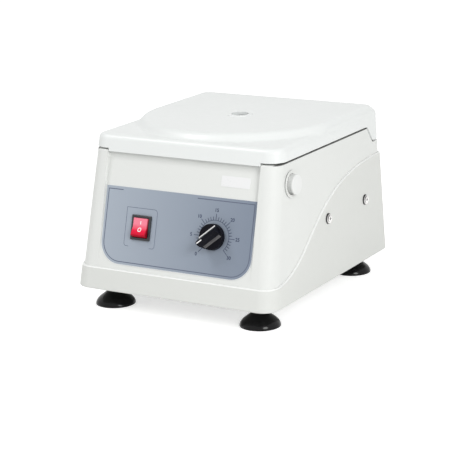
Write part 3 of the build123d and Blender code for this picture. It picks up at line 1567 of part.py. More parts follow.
# Mains inlet: a recessed male socket in the back wall
with BuildPart() as power_inlet:
    with BuildSketch(on_back(inlet_x, inlet_z)):
        RectangleRounded(inlet_flange_width, inlet_flange_height, inlet_flange_corner_r)
    extrude(amount=inlet_flange_thickness)
    with BuildSketch(on_back(inlet_x, inlet_z)):
        Rectangle(inlet_body_width, inlet_body_height)
    extrude(amount=-inlet_body_depth)
    with BuildSketch(on_back(inlet_x, inlet_z, inlet_flange_thickness)) as socket_outline:
        Rectangle(inlet_socket_width, inlet_socket_height)
        chamfer(socket_outline.vertices().group_by(Axis.Y)[-1], inlet_socket_chamfer)
    extrude(amount=-inlet_socket_depth, mode=Mode.SUBTRACT)
    for x in (-inlet_screw_pitch / 2, inlet_screw_pitch / 2):
        with Locations(on_back(inlet_x - x, inlet_z, inlet_flange_thickness)):
            CounterSinkHole(hole_r, hole_head_r, 2 * inlet_flange_thickness)
save(power_inlet, "power_inlet")

with BuildPart() as inlet_pins:
    with BuildSketch(on_back(inlet_x, inlet_z, inlet_flange_thickness - inlet_socket_depth)):
        with Locations(
            (-inlet_pin_pitch, -inlet_pin_drop),
            (0, inlet_pin_drop),
            (inlet_pin_pitch, -inlet_pin_drop),
        ):
            Rectangle(inlet_pin_thickness, inlet_pin_width)
    extrude(amount=inlet_pin_length)
save(inlet_pins, "inlet_pins")

with BuildPart() as inlet_screws:
    for x in (-inlet_screw_pitch / 2, inlet_screw_pitch / 2):
        flush_screw(on_back(inlet_x - x, inlet_z, inlet_flange_thickness), inlet_screw_length)
save(inlet_screws, "inlet_screws")
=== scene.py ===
import math

import bmesh
import bpy
from mathutils import Matrix, Vector
from mathutils.bvhtree import BVHTree


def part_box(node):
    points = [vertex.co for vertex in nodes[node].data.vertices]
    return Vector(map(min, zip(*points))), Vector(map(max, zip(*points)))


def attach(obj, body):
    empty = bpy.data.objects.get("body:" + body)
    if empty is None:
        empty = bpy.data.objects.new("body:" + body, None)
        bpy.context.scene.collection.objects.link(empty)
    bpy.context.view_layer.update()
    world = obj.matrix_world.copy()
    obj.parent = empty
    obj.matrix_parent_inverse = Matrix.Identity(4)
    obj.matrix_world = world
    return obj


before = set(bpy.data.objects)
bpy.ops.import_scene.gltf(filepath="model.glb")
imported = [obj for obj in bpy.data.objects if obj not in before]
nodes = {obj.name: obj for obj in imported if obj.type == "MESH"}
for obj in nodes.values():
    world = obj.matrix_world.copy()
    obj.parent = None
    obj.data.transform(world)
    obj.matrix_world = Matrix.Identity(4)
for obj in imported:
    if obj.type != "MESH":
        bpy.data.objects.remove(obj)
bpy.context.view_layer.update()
scene = bpy.context.scene
scene.view_settings.view_transform = "Standard"

# Camera
# A long lens about 1.9 m away, to the right of the front and 15 degrees above
# it, rolled by one and a half degrees.
camera_right = Vector((0.86626, 0.49898, -0.02499))
camera_up = Vector((-0.10750, 0.23499, 0.96603))
camera_back = Vector((0.48790, -0.83415, 0.25720))
camera_place = Vector((0.90904, -1.57762, 0.55797))
camera_lens = 131.6
camera_film = 36.0
camera_reach = 20.0


def axes_at(right, up, out, place):
    """A frame from its three axes and its place."""
    return Matrix((
        (right.x, up.x, out.x, place.x),
        (right.y, up.y, out.y, place.y),
        (right.z, up.z, out.z, place.z),
        (0, 0, 0, 1),
    ))


camera_data = bpy.data.cameras.new("camera")
camera_data.lens = camera_lens
camera_data.sensor_width = camera_film
camera_data.clip_end = camera_reach
camera = bpy.data.objects.new("camera", camera_data)
camera.matrix_world = axes_at(camera_right, camera_up, camera_back, camera_place)
scene.collection.objects.link(camera)
scene.camera = camera

# Studio
# A white surround that metal and glass mirror, a softer level of light from it,
# and two large round lamps, the stronger one to the left of the front.
surround_level = 0.52
surround_tone = (1.0, 1.0, 0.99, 1)
mirrored_level = 1.0
mirrored_tone = (1, 1, 1, 1)
lamp_aim = Vector((0, 0, 0.1))
lamp_width = 0.9
lamps = {
    "key": {"place": Vector((-1.3, -1.0, 2.6)), "power": 26},
    "fill": {"place": Vector((1.6, -1.0, 1.0)), "power": 18},
}


def worked_out(tree, operation, *values):
    """A sum or a comparison on one or two values in a tree of shader nodes."""
    node = tree.nodes.new("ShaderNodeMath")
    node.operation = operation
    for socket, value in zip(node.inputs, values):
        tree.links.new(value, socket)
    return node.outputs[0]


def shown_or_mirrored(tree):
    """1 where the camera, gloss or clear plastic shows a thing, 0 where it only sheds light."""
    rays = tree.nodes.new("ShaderNodeLightPath").outputs
    mirrored = worked_out(tree, "MAXIMUM", rays["Is Camera Ray"], rays["Is Glossy Ray"])
    return worked_out(tree, "MAXIMUM", mirrored, rays["Is Transmission Ray"])


world = bpy.data.worlds.new("studio")
scene.world = world
world.use_nodes = True
world_tree = world.node_tree
world_tree.nodes.clear()
surround = world_tree.nodes.new("ShaderNodeMixShader")
world_tree.links.new(shown_or_mirrored(world_tree), surround.inputs["Fac"])
for socket, tone, level in ((1, surround_tone, surround_level), (2, mirrored_tone, mirrored_level)):
    glow = world_tree.nodes.new("ShaderNodeBackground")
    glow.inputs["Color"].default_value = tone
    glow.inputs["Strength"].default_value = level
    world_tree.links.new(glow.outputs[0], surround.inputs[socket])
world_out = world_tree.nodes.new("ShaderNodeOutputWorld")
world_tree.links.new(surround.outputs[0], world_out.inputs["Surface"])
for lamp_name, lamp_facts in lamps.items():
    lamp_data = bpy.data.lights.new(lamp_name, "AREA")
    lamp_data.shape = "DISK"
    lamp_data.size = lamp_width
    lamp_data.energy = lamp_facts["power"]
    lamp = bpy.data.objects.new(lamp_name, lamp_data)
    lamp.location = lamp_facts["place"]
    lamp.rotation_euler = (lamp_aim - lamp_facts["place"]).to_track_quat("-Z", "Y").to_euler()
    scene.collection.objects.link(lamp)

# Upper casing
# The main moulding, structural foam in an off-white resin with a fine satin
# grain, which carries the panel, the lid's hinges and the chassis. The two side
# rims of its deck, in the gap under the lid, are painted dark grey as the gap's
# shade.
casing_color = (0.785, 0.800, 0.780)
rim_gap_shade = (0.13, 0.13, 0.125)
gap_shade_from = 0.1085
gap_shade_full = 0.1105
resin_drift = 0.99


class Finish:
    """A finish in the making: its material, its shader's sockets and the piece's own coordinates."""

    faintest_blot = 0.3
    strongest_blot = 0.7
    coat_rough = 0.12

    def __init__(self, name):
        self.material = bpy.data.materials.new(name)
        self.material.use_nodes = True
        self.tree = self.material.node_tree
        self.shader = self.tree.nodes["Principled BSDF"].inputs
        self.coords = self.tree.nodes.new("ShaderNodeTexCoord").outputs["Object"]

    def mottle(self, blots, detail=3.0, stretch=None):
        """A cloudy value fixed to the piece, its scale in blots per metre."""
        source = self.coords
        if stretch:
            mapping = self.tree.nodes.new("ShaderNodeMapping")
            mapping.inputs["Scale"].default_value = stretch
            self.tree.links.new(source, mapping.inputs["Vector"])
            source = mapping.outputs["Vector"]
        noise = self.tree.nodes.new("ShaderNodeTexNoise")
        noise.inputs["Scale"].default_value = blots
        noise.inputs["Detail"].default_value = detail
        self.tree.links.new(source, noise.inputs["Vector"])
        return noise.outputs["Fac"]

    def ramp(self, value, start, end, low=0, high=1):
        """Carries a value from one range to another, held at both ends."""
        node = self.tree.nodes.new("ShaderNodeMapRange")
        node.inputs["From Min"].default_value = start
        node.inputs["From Max"].default_value = end
        node.inputs["To Min"].default_value = low
        node.inputs["To Max"].default_value = high
        self.tree.links.new(value, node.inputs["Value"])
        return node.outputs["Result"]

    def drift(self, blots, detail=3.0, low=0, high=1):
        """A value that drifts between two levels over the piece."""
        return self.ramp(self.mottle(blots, detail), self.faintest_blot, self.strongest_blot, low, high)

    def part_of(self, vector, axis):
        """The X, Y or Z of a place or a direction."""
        parts = self.tree.nodes.new("ShaderNodeSeparateXYZ")
        self.tree.links.new(vector, parts.inputs["Vector"])
        return parts.outputs[axis]

    def along(self, axis, place, start, end):
        """From 0 to 1 between two distances past a place on the piece's X, Y or Z, in metres."""
        return self.ramp(self.part_of(self.coords, axis), place + start, place + end)

    def outward(self, start, end):
        """From 0 to 1 between two distances from the middle plane, the same to the left and right."""
        distance = worked_out(self.tree, "ABSOLUTE", self.part_of(self.coords, "X"))
        return self.ramp(distance, start, end)

    def facing(self, axis, start, end):
        """From 0 to 1 as the surface turns to face X, Y or Z."""
        surface = self.tree.nodes.new("ShaderNodeNewGeometry")
        return self.ramp(self.part_of(surface.outputs["Normal"], axis), start, end)

    def blend(self, factor, first, second):
        """Goes from one colour to another; a colour may come from another blend."""
        node = self.tree.nodes.new("ShaderNodeMix")
        node.data_type = "RGBA"
        for socket, color in (("A", first), ("B", second)):
            if isinstance(color, tuple):
                node.inputs[socket].default_value = (*color, 1)
            else:
                self.tree.links.new(color, node.inputs[socket])
        self.tree.links.new(factor, node.inputs["Factor"])
        return node.outputs["Result"]

    def color(self, blended):
        """Lays a blended colour on the piece."""
        self.tree.links.new(blended, self.shader["Base Color"])

    def gloss(self, smooth, dull, blots, detail=3.0):
        """Lays a gloss that drifts between two roughnesses."""
        self.tree.links.new(self.drift(blots, detail, smooth, dull), self.shader["Roughness"])

    def relief(self, depth, blots, detail=3.0, stretch=None):
        """Presses a fine relief into the piece, its depth in metres."""
        bump = self.tree.nodes.new("ShaderNodeBump")
        bump.inputs["Distance"].default_value = depth
        self.tree.links.new(self.mottle(blots, detail, stretch), bump.inputs["Height"])
        self.tree.links.new(bump.outputs["Normal"], self.shader["Normal"])

    def coat(self, weight):
        """Adds the thin clear skin that a polished mould leaves."""
        self.shader["Coat Weight"].default_value = weight
        self.shader["Coat Roughness"].default_value = self.coat_rough


def shade(color, share):
    """A colour made darker or lighter."""
    return tuple(min(value * share, 1) for value in color)


def dress(material, *names):
    """Puts a finish on pieces that come from the frame."""
    for name in names:
        nodes[name].data.materials.clear()
        nodes[name].data.materials.append(material)


casing_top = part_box("upper_housing")[1][2]
casing_white = Finish("casing_white")
casing_cloud = casing_white.drift(blots=18, detail=4.0)
casing_plain = casing_white.blend(casing_cloud, shade(casing_color, resin_drift), casing_color)
# Painted shade: the deck's top faces near its two side edges, under the lid, are darkened as the gap's shade.
deck_top = casing_white.along("Z", casing_top, start=-0.0011, end=-0.0006)
deck_flat = casing_white.facing("Z", start=0.35, end=0.6)
deck_face = worked_out(casing_white.tree, "MINIMUM", deck_top, deck_flat)
deck_side = casing_white.outward(gap_shade_from, gap_shade_full)
deck_rim_shade = worked_out(casing_white.tree, "MINIMUM", deck_face, deck_side)
casing_white.color(casing_white.blend(deck_rim_shade, casing_plain, rim_gap_shade))
casing_white.gloss(smooth=0.39, dull=0.55, blots=126, detail=5.0)
casing_white.relief(depth=0.00006, blots=900, detail=2.0)
casing_white.coat(weight=0.08)
dress(casing_white.material, "upper_housing")

# Lower casing
# The outer skirt, moulded in the same resin, its colour painted a shade deeper
# as shade. It is slipped up over the upper casing and ends in the S-shaped seam,
# whose rounded edge, where it faces up, is painted paler as a highlight.
# Painted shade: the skirt's resin colour is set darker than the casing's.
skirt_shaded_color = (0.735, 0.748, 0.722)
skirt_edge_highlight = (0.88, 0.89, 0.88)
skirt_white = Finish("skirt_white")
skirt_cloud = skirt_white.drift(blots=18, detail=4.0)
skirt_plain = skirt_white.blend(skirt_cloud, shade(skirt_shaded_color, resin_drift), skirt_shaded_color)
# Painted highlight: faces turned upwards are paler.
skirt_upward_highlight = skirt_white.facing("Z", start=0.34, end=0.55)
skirt_white.color(skirt_white.blend(skirt_upward_highlight, skirt_plain, skirt_edge_highlight))
skirt_white.gloss(smooth=0.42, dull=0.58, blots=126, detail=5.0)
skirt_white.relief(depth=0.00006, blots=900, detail=2.0)
dress(skirt_white.material, "lower_housing")

# Suction feet
# Four cups of soft black rubber, pulled through the base. The skin is smooth
# from the polished mould and a little dusty.
foot_black = (0.002, 0.002, 0.0025)


def satin(name, color, rough, wander=0.02, cloud=18, grain=900, depth=0.00006,
          coat=0.0, metal=0.0, shine=0.5, stretch=None):
    """A finish whose colour and gloss drift a little over the piece, with a fine relief."""
    smoother = 0.85
    duller = 1.2
    gloss_blots = 7
    finish = Finish(name)
    drift = finish.drift(blots=cloud, detail=4.0)
    finish.color(finish.blend(drift, shade(color, 1 - wander), shade(color, 1 + wander)))
    finish.gloss(rough * smoother, min(rough * duller, 1), blots=cloud * gloss_blots, detail=5.0)
    finish.relief(depth, blots=grain, detail=2.0, stretch=stretch)
    finish.coat(coat)
    finish.shader["Metallic"].default_value = metal
    finish.shader["Specular IOR Level"].default_value = shine
    return finish.material


foot_rubber = satin(
    "foot_rubber", foot_black, rough=0.12, wander=0.3, grain=300, depth=0.00003, shine=0.24)
dress(foot_rubber, "foot_front_left", "foot_front_right", "foot_rear_left", "foot_rear_right")

# Side screws
# Two raised screws on each side, nickel plated, in pressed cup washers. Cup and
# screw are bright at their outermost and go dull towards the casing, where they
# are painted dark as shade.
nickel_bright = (0.80, 0.79, 0.78)


def plate_with_nickel(name, piece, shade_depth, bright_depth, shade_color, dull):
    """Nickel on a piece, painted dark as shade at one depth below its outermost point and bright at another.
    """
    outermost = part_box(piece)[1][0]
    finish = Finish(name)
    # Painted shade: the piece darkens towards the casing, below its outermost point.
    bright = finish.outward(outermost - shade_depth, outermost - bright_depth)
    finish.color(finish.blend(bright, shade_color, nickel_bright))
    finish.gloss(smooth=0.16, dull=dull, blots=400)
    finish.relief(depth=0.00002, blots=1500)
    finish.shader["Metallic"].default_value = 1.0
    dress(finish.material, piece)


plate_with_nickel(
    "cup_nickel", "side_washers", shade_depth=0.0014, bright_depth=0, shade_color=(0.03, 0.03, 0.032), dull=0.3)
plate_with_nickel(
    "screw_nickel", "side_screws", shade_depth=0.0007, bright_depth=0.0002, shade_color=(0.02, 0.02, 0.02), dull=0.28)

# Panel overlay
# A screen-printed polyester film glued into the panel's recess, blue-grey and
# deeper to the right, with a pale strip painted along its edge as a highlight and
# a printed border near it. What is printed on it is placed in millimetres from the
# middle of its upper edge.
panel_head = Vector((0, -0.11569, 0.1367))
panel_across = Vector((1, 0, 0))
panel_slope = Vector((0, 0.262189, 0.965016))
panel_out = Vector((0, -0.965016, 0.262189))
film_top = 0.4
film_half = 95.2
film_drop = 85.6
film_corner = 25.0
film_fade_half = 90.0
film_left_blue = (0.385, 0.435, 0.505)
film_right_blue = (0.215, 0.255, 0.325)
border_inset = 3.3
border_width = 0.9
border_gap = (-73.1, 21.9)
highlight_inset = 0.2
highlight_width = 0.5
ink_height = 0.06
corner_steps = 12
mitre_limit = 0.5


def on_panel(x, y, height):
    """A point of the leaning panel: across it, up it and out of it."""
    return panel_head + (panel_across * x + panel_slope * y + panel_out * height) / 1000


def add_piece(name, draft, material, body):
    """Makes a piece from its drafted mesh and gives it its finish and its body."""
    mesh = bpy.data.meshes.new(name)
    draft.to_mesh(mesh)
    draft.free()
    mesh.materials.append(material)
    piece = bpy.data.objects.new(name, mesh)
    scene.collection.objects.link(piece)
    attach(piece, body)


def heading_between(start, end):
    """The direction from one flat point to another, if both are there."""
    if start is None or end is None:
        return None
    return Vector((end[0] - start[0], end[1] - start[1])).normalized()


def line_section(path, index, closed, width, low, high, place):
    """The four corners of a printed line at one point of its path, mitred with its neighbours."""
    x, y = path[index]
    before = path[index - 1] if index or closed else None
    after = path[(index + 1) % len(path)] if index < len(path) - 1 or closed else None
    into = heading_between(before, (x, y))
    away = heading_between((x, y), after)
    heading = into or away
    if into and away:
        heading = (into + away).normalized()
    side = Vector((-heading.y, heading.x))
    if into and away:
        side /= max(side.dot(Vector((-into.y, into.x))), mitre_limit)
    side *= width / 2
    return (
        place(x + side.x, y + side.y, low),
        place(x - side.x, y - side.y, low),
        place(x - side.x, y - side.y, high),
        place(x + side.x, y + side.y, high),
    )


def draw_lines(name, runs, width, low, high, place, material, body):
    """Printed lines: each run is a path of flat points and whether it closes."""
    draft = bmesh.new()
    for path, closed in runs:
        count = len(path)
        rows = []
        for index in range(count):
            corners = line_section(path, index, closed, width, low, high, place)
            rows.append([draft.verts.new(corner) for corner in corners])
        for index in range(count if closed else count - 1):
            here, there = rows[index], rows[(index + 1) % count]
            for edge in range(4):
                turn = (edge + 1) % 4
                draft.faces.new((here[edge], here[turn], there[turn], there[edge]))
        if not closed:
            draft.faces.new(rows[0])
            draft.faces.new(list(reversed(rows[-1])))
    bmesh.ops.recalc_face_normals(draft, faces=draft.faces)
    add_piece(name, draft, material, body)


def print_on_film(name, paths, width, material):
    """Open lines printed on the overlay."""
    runs = [(path, False) for path in paths]
    draw_lines(name, runs, width, film_top, film_top + ink_height, on_panel, material, "housing")


def arc_points(cx, cy, radius, start, end, steps):
    """Points on an arc, its angles in degrees anticlockwise from the right."""
    points = []
    for step in range(steps + 1):
        angle = math.radians(start + (end - start) * step / steps)
        points.append((cx + radius * math.cos(angle), cy + radius * math.sin(angle)))
    return points


def film_outline(inset):
    """The film's edge, moved inwards: down the left, round the foot and up the right."""
    half = film_half - inset
    foot = -(film_drop - inset)
    radius = film_corner - inset
    left_turn = arc_points(-half + radius, foot + radius, radius, 180, 270, corner_steps)
    right_turn = arc_points(half - radius, foot + radius, radius, 270, 360, corner_steps)
    return [(-half, -inset)] + left_turn + right_turn + [(half, -inset)]


film_blue = Finish("film_blue")
film_fade = film_blue.along("X", 0, start=-film_fade_half / 1000, end=film_fade_half / 1000)
film_blue.color(film_blue.blend(film_fade, film_left_blue, film_right_blue))
film_blue.gloss(smooth=0.38, dull=0.5, blots=150, detail=4.0)
film_blue.relief(depth=0.00003, blots=2500)
dress(film_blue.material, "panel_overlay")

line_ink = satin("line_ink", (0.105, 0.125, 0.185), rough=0.45, wander=0.1, cloud=120)
# Painted highlight: a pale strip along the film's cut edge.
film_edge_highlight = satin("film_edge_highlight", (0.86, 0.87, 0.87), rough=0.3, wander=0.02)
border_start = (border_gap[0], -border_inset)
border_end = (border_gap[1], -border_inset)
border_path = [border_start] + film_outline(border_inset) + [border_end]
print_on_film("overlay_border", [border_path], border_width, line_ink)
print_on_film("overlay_edge_highlight", [film_outline(highlight_inset)], highlight_width, film_edge_highlight)

# Blank plate
# A small glossy plate stuck above the panel, with nothing printed on it.
# It is a white metallised film with a square cut edge.
plate_white = satin(
    "plate_white", (0.86, 0.865, 0.87), rough=0.3, wander=0.002, cloud=40, depth=0.00001)
dress(plate_white, "label_plate")

# Rocker switch
# A snap-in mains switch: a black nylon frame and a clear red rocker, with a
# white bar and a white ring. The rocker is painted paler towards the top as
# light, and darker at its foot in the frame's well and on its right side as shade.
switch_black = satin(
    "switch_black", (0.018, 0.020, 0.024), rough=0.34, wander=0.2, grain=1400, depth=0.00004, coat=0.2)
terminal_brass = satin("terminal_brass", (0.72, 0.55, 0.26), rough=0.3, wander=0.08, metal=1.0)
dress(switch_black, "switch_frame")
dress(terminal_brass, "switch_terminals")

# Painted light on the rocker: darker at its foot and on its right side as shade, paler towards the top as
# light.
red_well_shade = (0.46, 0.001, 0.016)
red_of_face = (0.82, 0.006, 0.05)
red_painted_light = (0.94, 0.25, 0.34)
red_side_shade = (0.30, 0.001, 0.012)
rocker_low, rocker_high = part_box("rocker")
rocker_red = Finish("rocker_red")
out_of_well_shade = rocker_red.along("Z", rocker_low[2], start=0.003, end=0.0085)
under_painted_light = rocker_red.along("Z", rocker_low[2], start=0.009, end=0.0155)
at_shaded_side = rocker_red.along("X", rocker_high[0], start=-0.0026, end=-0.001)
red_face = rocker_red.blend(out_of_well_shade, red_well_shade, red_of_face)
red_lit_face = rocker_red.blend(under_painted_light, red_face, red_painted_light)
rocker_red.color(rocker_red.blend(at_shaded_side, red_lit_face, red_side_shade))
rocker_red.gloss(smooth=0.38, dull=0.46, blots=200)
rocker_red.relief(depth=0.00003, blots=600)
rocker_red.shader["Specular IOR Level"].default_value = 0.12
dress(rocker_red.material, "rocker")

rocker_across = -45.1
rocker_drop = 42.5
rocker_clear = 40
mark_low = -0.02
mark_high = 0.06
mark_across = 0.2
bar_foot = 3.6
bar_step = 0.6
bar_steps = 6
bar_width = 1.1
ring_rise = -2.2
ring_radius = 1.9
ring_width = 0.95
ring_steps = 24


def surface_of(name):
    """A piece's faces, for prints to be laid on."""
    mesh = nodes[name].data
    corners = [vertex.co.copy() for vertex in mesh.vertices]
    return BVHTree.FromPolygons(corners, [tuple(face.vertices) for face in mesh.polygons])


def dropped_on(faces, start, height):
    """Where a line square to the panel first meets the faces, then so many millimetres off them."""
    hit = faces.ray_cast(start, -panel_out)[0]
    return hit + panel_out * (height / 1000)


def on_rocker(x, y, height):
    """A point on the rocker's face, x and y measured from the switch's middle."""
    start = on_panel(rocker_across + x, y - rocker_drop, rocker_clear)
    return dropped_on(rocker_faces, start, height)


def mark_rocker(name, path, closed, width):
    """A white mark printed on the rocker."""
    draw_lines(
        name, [(path, closed)], width, mark_low, mark_high, on_rocker, mark_white, "rocker")


rocker_faces = surface_of("rocker")
mark_white = satin("mark_white", (0.90, 0.86, 0.86), rough=0.4, wander=0.02, cloud=150)
bar_path = [(mark_across, bar_foot + bar_step * step) for step in range(bar_steps + 1)]
ring_path = arc_points(mark_across, ring_rise, ring_radius, 0, 360, ring_steps)[:-1]
mark_rocker("rocker_bar", bar_path, False, bar_width)
mark_rocker("rocker_ring", ring_path, True, ring_width)

# Line round the switch
# Printed on the film in the same ink as the border: square at the top left and
# rounded at its other corners, open at the foot between two short hooks.
frame_left = -65.5
frame_right = -26.4
frame_top = -21.3
frame_foot = -64.0
frame_hook_left = -59.7
frame_hook_right = -33.0
frame_foot_r = 3.0
frame_top_r = 4.0
frame_steps = 6
frame_width = 0.5
frame_path = [(frame_hook_left, frame_foot)]
frame_path += arc_points(
    frame_left + frame_foot_r, frame_foot + frame_foot_r, frame_foot_r, 270, 180, frame_steps)
frame_path += [(frame_left, frame_top)]
frame_path += arc_points(
    frame_right - frame_top_r, frame_top - frame_top_r, frame_top_r, 90, 0, frame_steps)
frame_path += arc_points(
    frame_right - frame_foot_r, frame_foot + frame_foot_r, frame_foot_r, 0, -90, frame_steps)
frame_path += [(frame_hook_right, frame_foot)]
print_on_film("switch_line", [frame_path], frame_width, line_ink)

# Timer scale
# Printed on the film round the knob: a thin arc, a tick for each minute, long
# ticks every five minutes, and the plain numbers 0 to 30.
dial_across = 46.87
dial_drop = 42.4
dial_minutes = 30
minute_turn = 9.0
zero_turn = 225.0
tick_foot = 18.0
tick_short = 21.9
tick_long = 25.0
tick_width = 0.65
scale_width = 0.5
scale_steps = 72
number_every = 5
number_radius = 28.6
number_size = 5.2
number_weight = 0.12
number_weld = 0.002


def on_dial(minute, radius):
    """A flat point of the panel at one minute of the dial, so far from its middle."""
    turn = math.radians(zero_turn - minute_turn * minute)
    return dial_across + radius * math.cos(turn), -dial_drop + radius * math.sin(turn)


def number_on_dial(minute):
    """The mesh of one printed number, in its place on the film."""
    figure = bpy.data.curves.new("figure", "FONT")
    figure.body = str(minute)
    figure.align_x = "CENTER"
    figure.align_y = "CENTER"
    figure.size = number_size / 1000
    figure.extrude = ink_height / 2000
    figure.offset = number_weight / 1000
    holder = bpy.data.objects.new("figure", figure)
    scene.collection.objects.link(holder)
    bpy.context.view_layer.update()
    drawn = holder.evaluated_get(bpy.context.evaluated_depsgraph_get())
    mesh = bpy.data.meshes.new_from_object(drawn)
    x, y = on_dial(minute, number_radius)
    middle = on_panel(x, y, film_top + ink_height / 2)
    mesh.transform(axes_at(panel_across, panel_slope, panel_out, middle))
    bpy.data.objects.remove(holder)
    bpy.data.curves.remove(figure)
    return mesh


scale_ink = satin("scale_ink", (0.035, 0.05, 0.10), rough=0.45, wander=0.1, cloud=120)
ticks = []
for minute in range(dial_minutes + 1):
    tick_end = tick_short if minute % number_every else tick_long
    ticks.append([on_dial(minute, tick_foot), on_dial(minute, tick_end)])
last_turn = zero_turn - minute_turn * dial_minutes
scale_arc = arc_points(dial_across, -dial_drop, tick_foot, last_turn, zero_turn, scale_steps)
print_on_film("timer_ticks", ticks, tick_width, scale_ink)
print_on_film("timer_arc", [scale_arc], scale_width, scale_ink)
numbers = bmesh.new()
for minute in range(0, dial_minutes + 1, number_every):
    number_mesh = number_on_dial(minute)
    numbers.from_mesh(number_mesh)
    bpy.data.meshes.remove(number_mesh)
bmesh.ops.remove_doubles(numbers, verts=numbers.verts, dist=number_weld / 1000)
add_piece("timer_numbers", numbers, scale_ink, "housing")

# Timer
# A wind-up interval timer behind the panel, held by a plated hex nut on its
# bush, and a glossy black phenolic knob pushed on the flatted shaft.
timer_black = satin("timer_black", (0.02, 0.02, 0.022), rough=0.45, wander=0.15)
timer_plating = satin("timer_plating", (0.62, 0.63, 0.64), rough=0.32, wander=0.08, metal=1.0)
knob_black = satin(
    "knob_black", (0.003, 0.003, 0.006), rough=0.42,
    wander=0.3, cloud=60, grain=1400, depth=0.00003, shine=0.1)
dress(timer_black, "timer_body")
dress(timer_plating, "timer_nut", "timer_shaft")
dress(knob_black, "timer_knob")

# Lines on the knob
# A white band along one foot of the grip, a painted highlight, a short white
# mark printed on the ridge that points at the scale, and a paler grey band along
# the other foot, a painted reflection.
knob_turn = math.radians(220.0)
knob_clear = 60
band_high = 0.05
band_low = -0.05
band_steps = 26
band_cross_steps = 6


def on_knob(ahead, aside, height):
    """A point on the knob: ahead along its pointer, and aside to the pointer's right."""
    across = dial_across + ahead * math.cos(knob_turn) + aside * math.sin(knob_turn)
    up = -dial_drop + ahead * math.sin(knob_turn) - aside * math.cos(knob_turn)
    return dropped_on(knob_faces, on_panel(across, up, knob_clear), height)


def band_layer(draft, ahead, aside, height):
    """One face of a band, as rows of points over the knob between its limits."""
    layer = []
    for step in range(band_steps + 1):
        reach = ahead[0] + (ahead[1] - ahead[0]) * step / band_steps
        row = []
        for cross in range(band_cross_steps + 1):
            offset = aside[0] + (aside[1] - aside[0]) * cross / band_cross_steps
            row.append(draft.verts.new(on_knob(reach, offset, height)))
        layer.append(row)
    return layer


def knob_band(name, ahead, aside, material):
    """A thin band that follows the knob's faces between its limits in millimetres."""
    draft = bmesh.new()
    top = band_layer(draft, ahead, aside, band_high)
    low = band_layer(draft, ahead, aside, band_low)
    for layer in (top, low):
        for near, far in zip(layer, layer[1:]):
            for cross in range(band_cross_steps):
                draft.faces.new((near[cross], near[cross + 1], far[cross + 1], far[cross]))
    rim = [(step, 0) for step in range(band_steps)]
    rim += [(band_steps, cross) for cross in range(band_cross_steps)]
    rim += [(step, band_cross_steps) for step in range(band_steps, 0, -1)]
    rim += [(0, cross) for cross in range(band_cross_steps, 0, -1)]
    for (row, cross), (next_row, next_cross) in zip(rim, rim[1:] + rim[:1]):
        upper_edge = (top[row][cross], top[next_row][next_cross])
        lower_edge = (low[next_row][next_cross], low[row][cross])
        draft.faces.new(upper_edge + lower_edge)
    bmesh.ops.recalc_face_normals(draft, faces=draft.faces)
    add_piece(name, draft, material, "timer_knob")


knob_faces = surface_of("timer_knob")
knob_print_and_highlight = satin("knob_print_and_highlight", (0.88, 0.88, 0.88), rough=0.4, wander=0.03, cloud=150)
knob_painted_reflection = satin("knob_painted_reflection", (0.075, 0.072, 0.075), rough=0.3, wander=0.3, cloud=200)
# Painted highlight along one foot and a painted reflection along the other; the mark on the ridge is print.
knob_band("knob_highlight_line", ahead=(-12.0, 11.9), aside=(5.0, 7.3), material=knob_print_and_highlight)
knob_band("knob_mark", ahead=(5.8, 13.0), aside=(-0.6, 0.6), material=knob_print_and_highlight)
knob_band("knob_reflection_foot", ahead=(-11.5, 11.5), aside=(-7.2, -5.0), material=knob_painted_reflection)

# Lid
# A vacuum-formed cover in the same off-white, gloss side out, over a plainer
# liner. Six self-tapping screws join the two from inside.
lid_white = satin("lid_white", (0.825, 0.848, 0.840), rough=0.4, wander=0.008, coat=0.15)
liner_white = satin("liner_white", (0.72, 0.73, 0.72), rough=0.5, wander=0.02)
zinc = satin("zinc", (0.62, 0.63, 0.64), rough=0.32, wander=0.08, metal=1.0)
dress(lid_white, "lid_shell")
dress(liner_white, "lid_liner")
dress(zinc, "liner_screws")

# Lid gasket
# A ring of black sponge cord pressed into the liner's groove, so that the lid
# seals on the chamber's rim.
gasket_sponge = satin(
    "gasket_sponge", (0.02, 0.02, 0.021), rough=0.75, wander=0.25, cloud=300, grain=500, depth=0.0002)
dress(gasket_sponge, "lid_gasket")

# Sight window
# A clear polycarbonate disc snapped in under the hole in the lid, so that a
# tachometer can see the rotor turn.
clear_disc = Finish("clear_disc")
clear_disc.shader["Base Color"].default_value = (0.90, 0.95, 0.95, 1)
clear_disc.shader["Transmission Weight"].default_value = 0.9
clear_disc.shader["IOR"].default_value = 1.5
clear_disc.gloss(smooth=0.03, dull=0.1, blots=60)
clear_disc.relief(depth=0.00003, blots=90)
dress(clear_disc.material, "sight_window")

# Hinges
# Two pairs of pressed steel leaves on bright pins, screwed to the rear ledge
# and to the lid, so that the lid swings up behind the deck.
pressed_steel = satin(
    "pressed_steel", (0.60, 0.61, 0.62), rough=0.34, wander=0.05, metal=1.0, stretch=(1, 1, 30))
pin_steel = satin("pin_steel", (0.78, 0.78, 0.79), rough=0.18, wander=0.04, metal=1.0)
dress(pressed_steel, "hinge_leaf_left", "hinge_leaf_right", "lid_leaf_left", "lid_leaf_right")
dress(pin_steel, "hinge_pins")
dress(zinc, "hinge_screws", "lid_leaf_screws")

# Latch
# A steel striker on the lid drops into a bracket with a spring leaf, and tips
# the lever of a small switch that lets the motor run only with the lid shut.
spring_strip = satin(
    "spring_strip", (0.42, 0.43, 0.45), rough=0.3, wander=0.06, metal=1.0, stretch=(1, 1, 20))
interlock_black = satin("interlock_black", (0.025, 0.025, 0.027), rough=0.5, wander=0.15)
dress(pressed_steel, "lid_striker", "latch_bracket")
dress(spring_strip, "latch_leaf", "interlock_lever")
dress(zinc, "latch_screws")
dress(interlock_black, "interlock_switch")

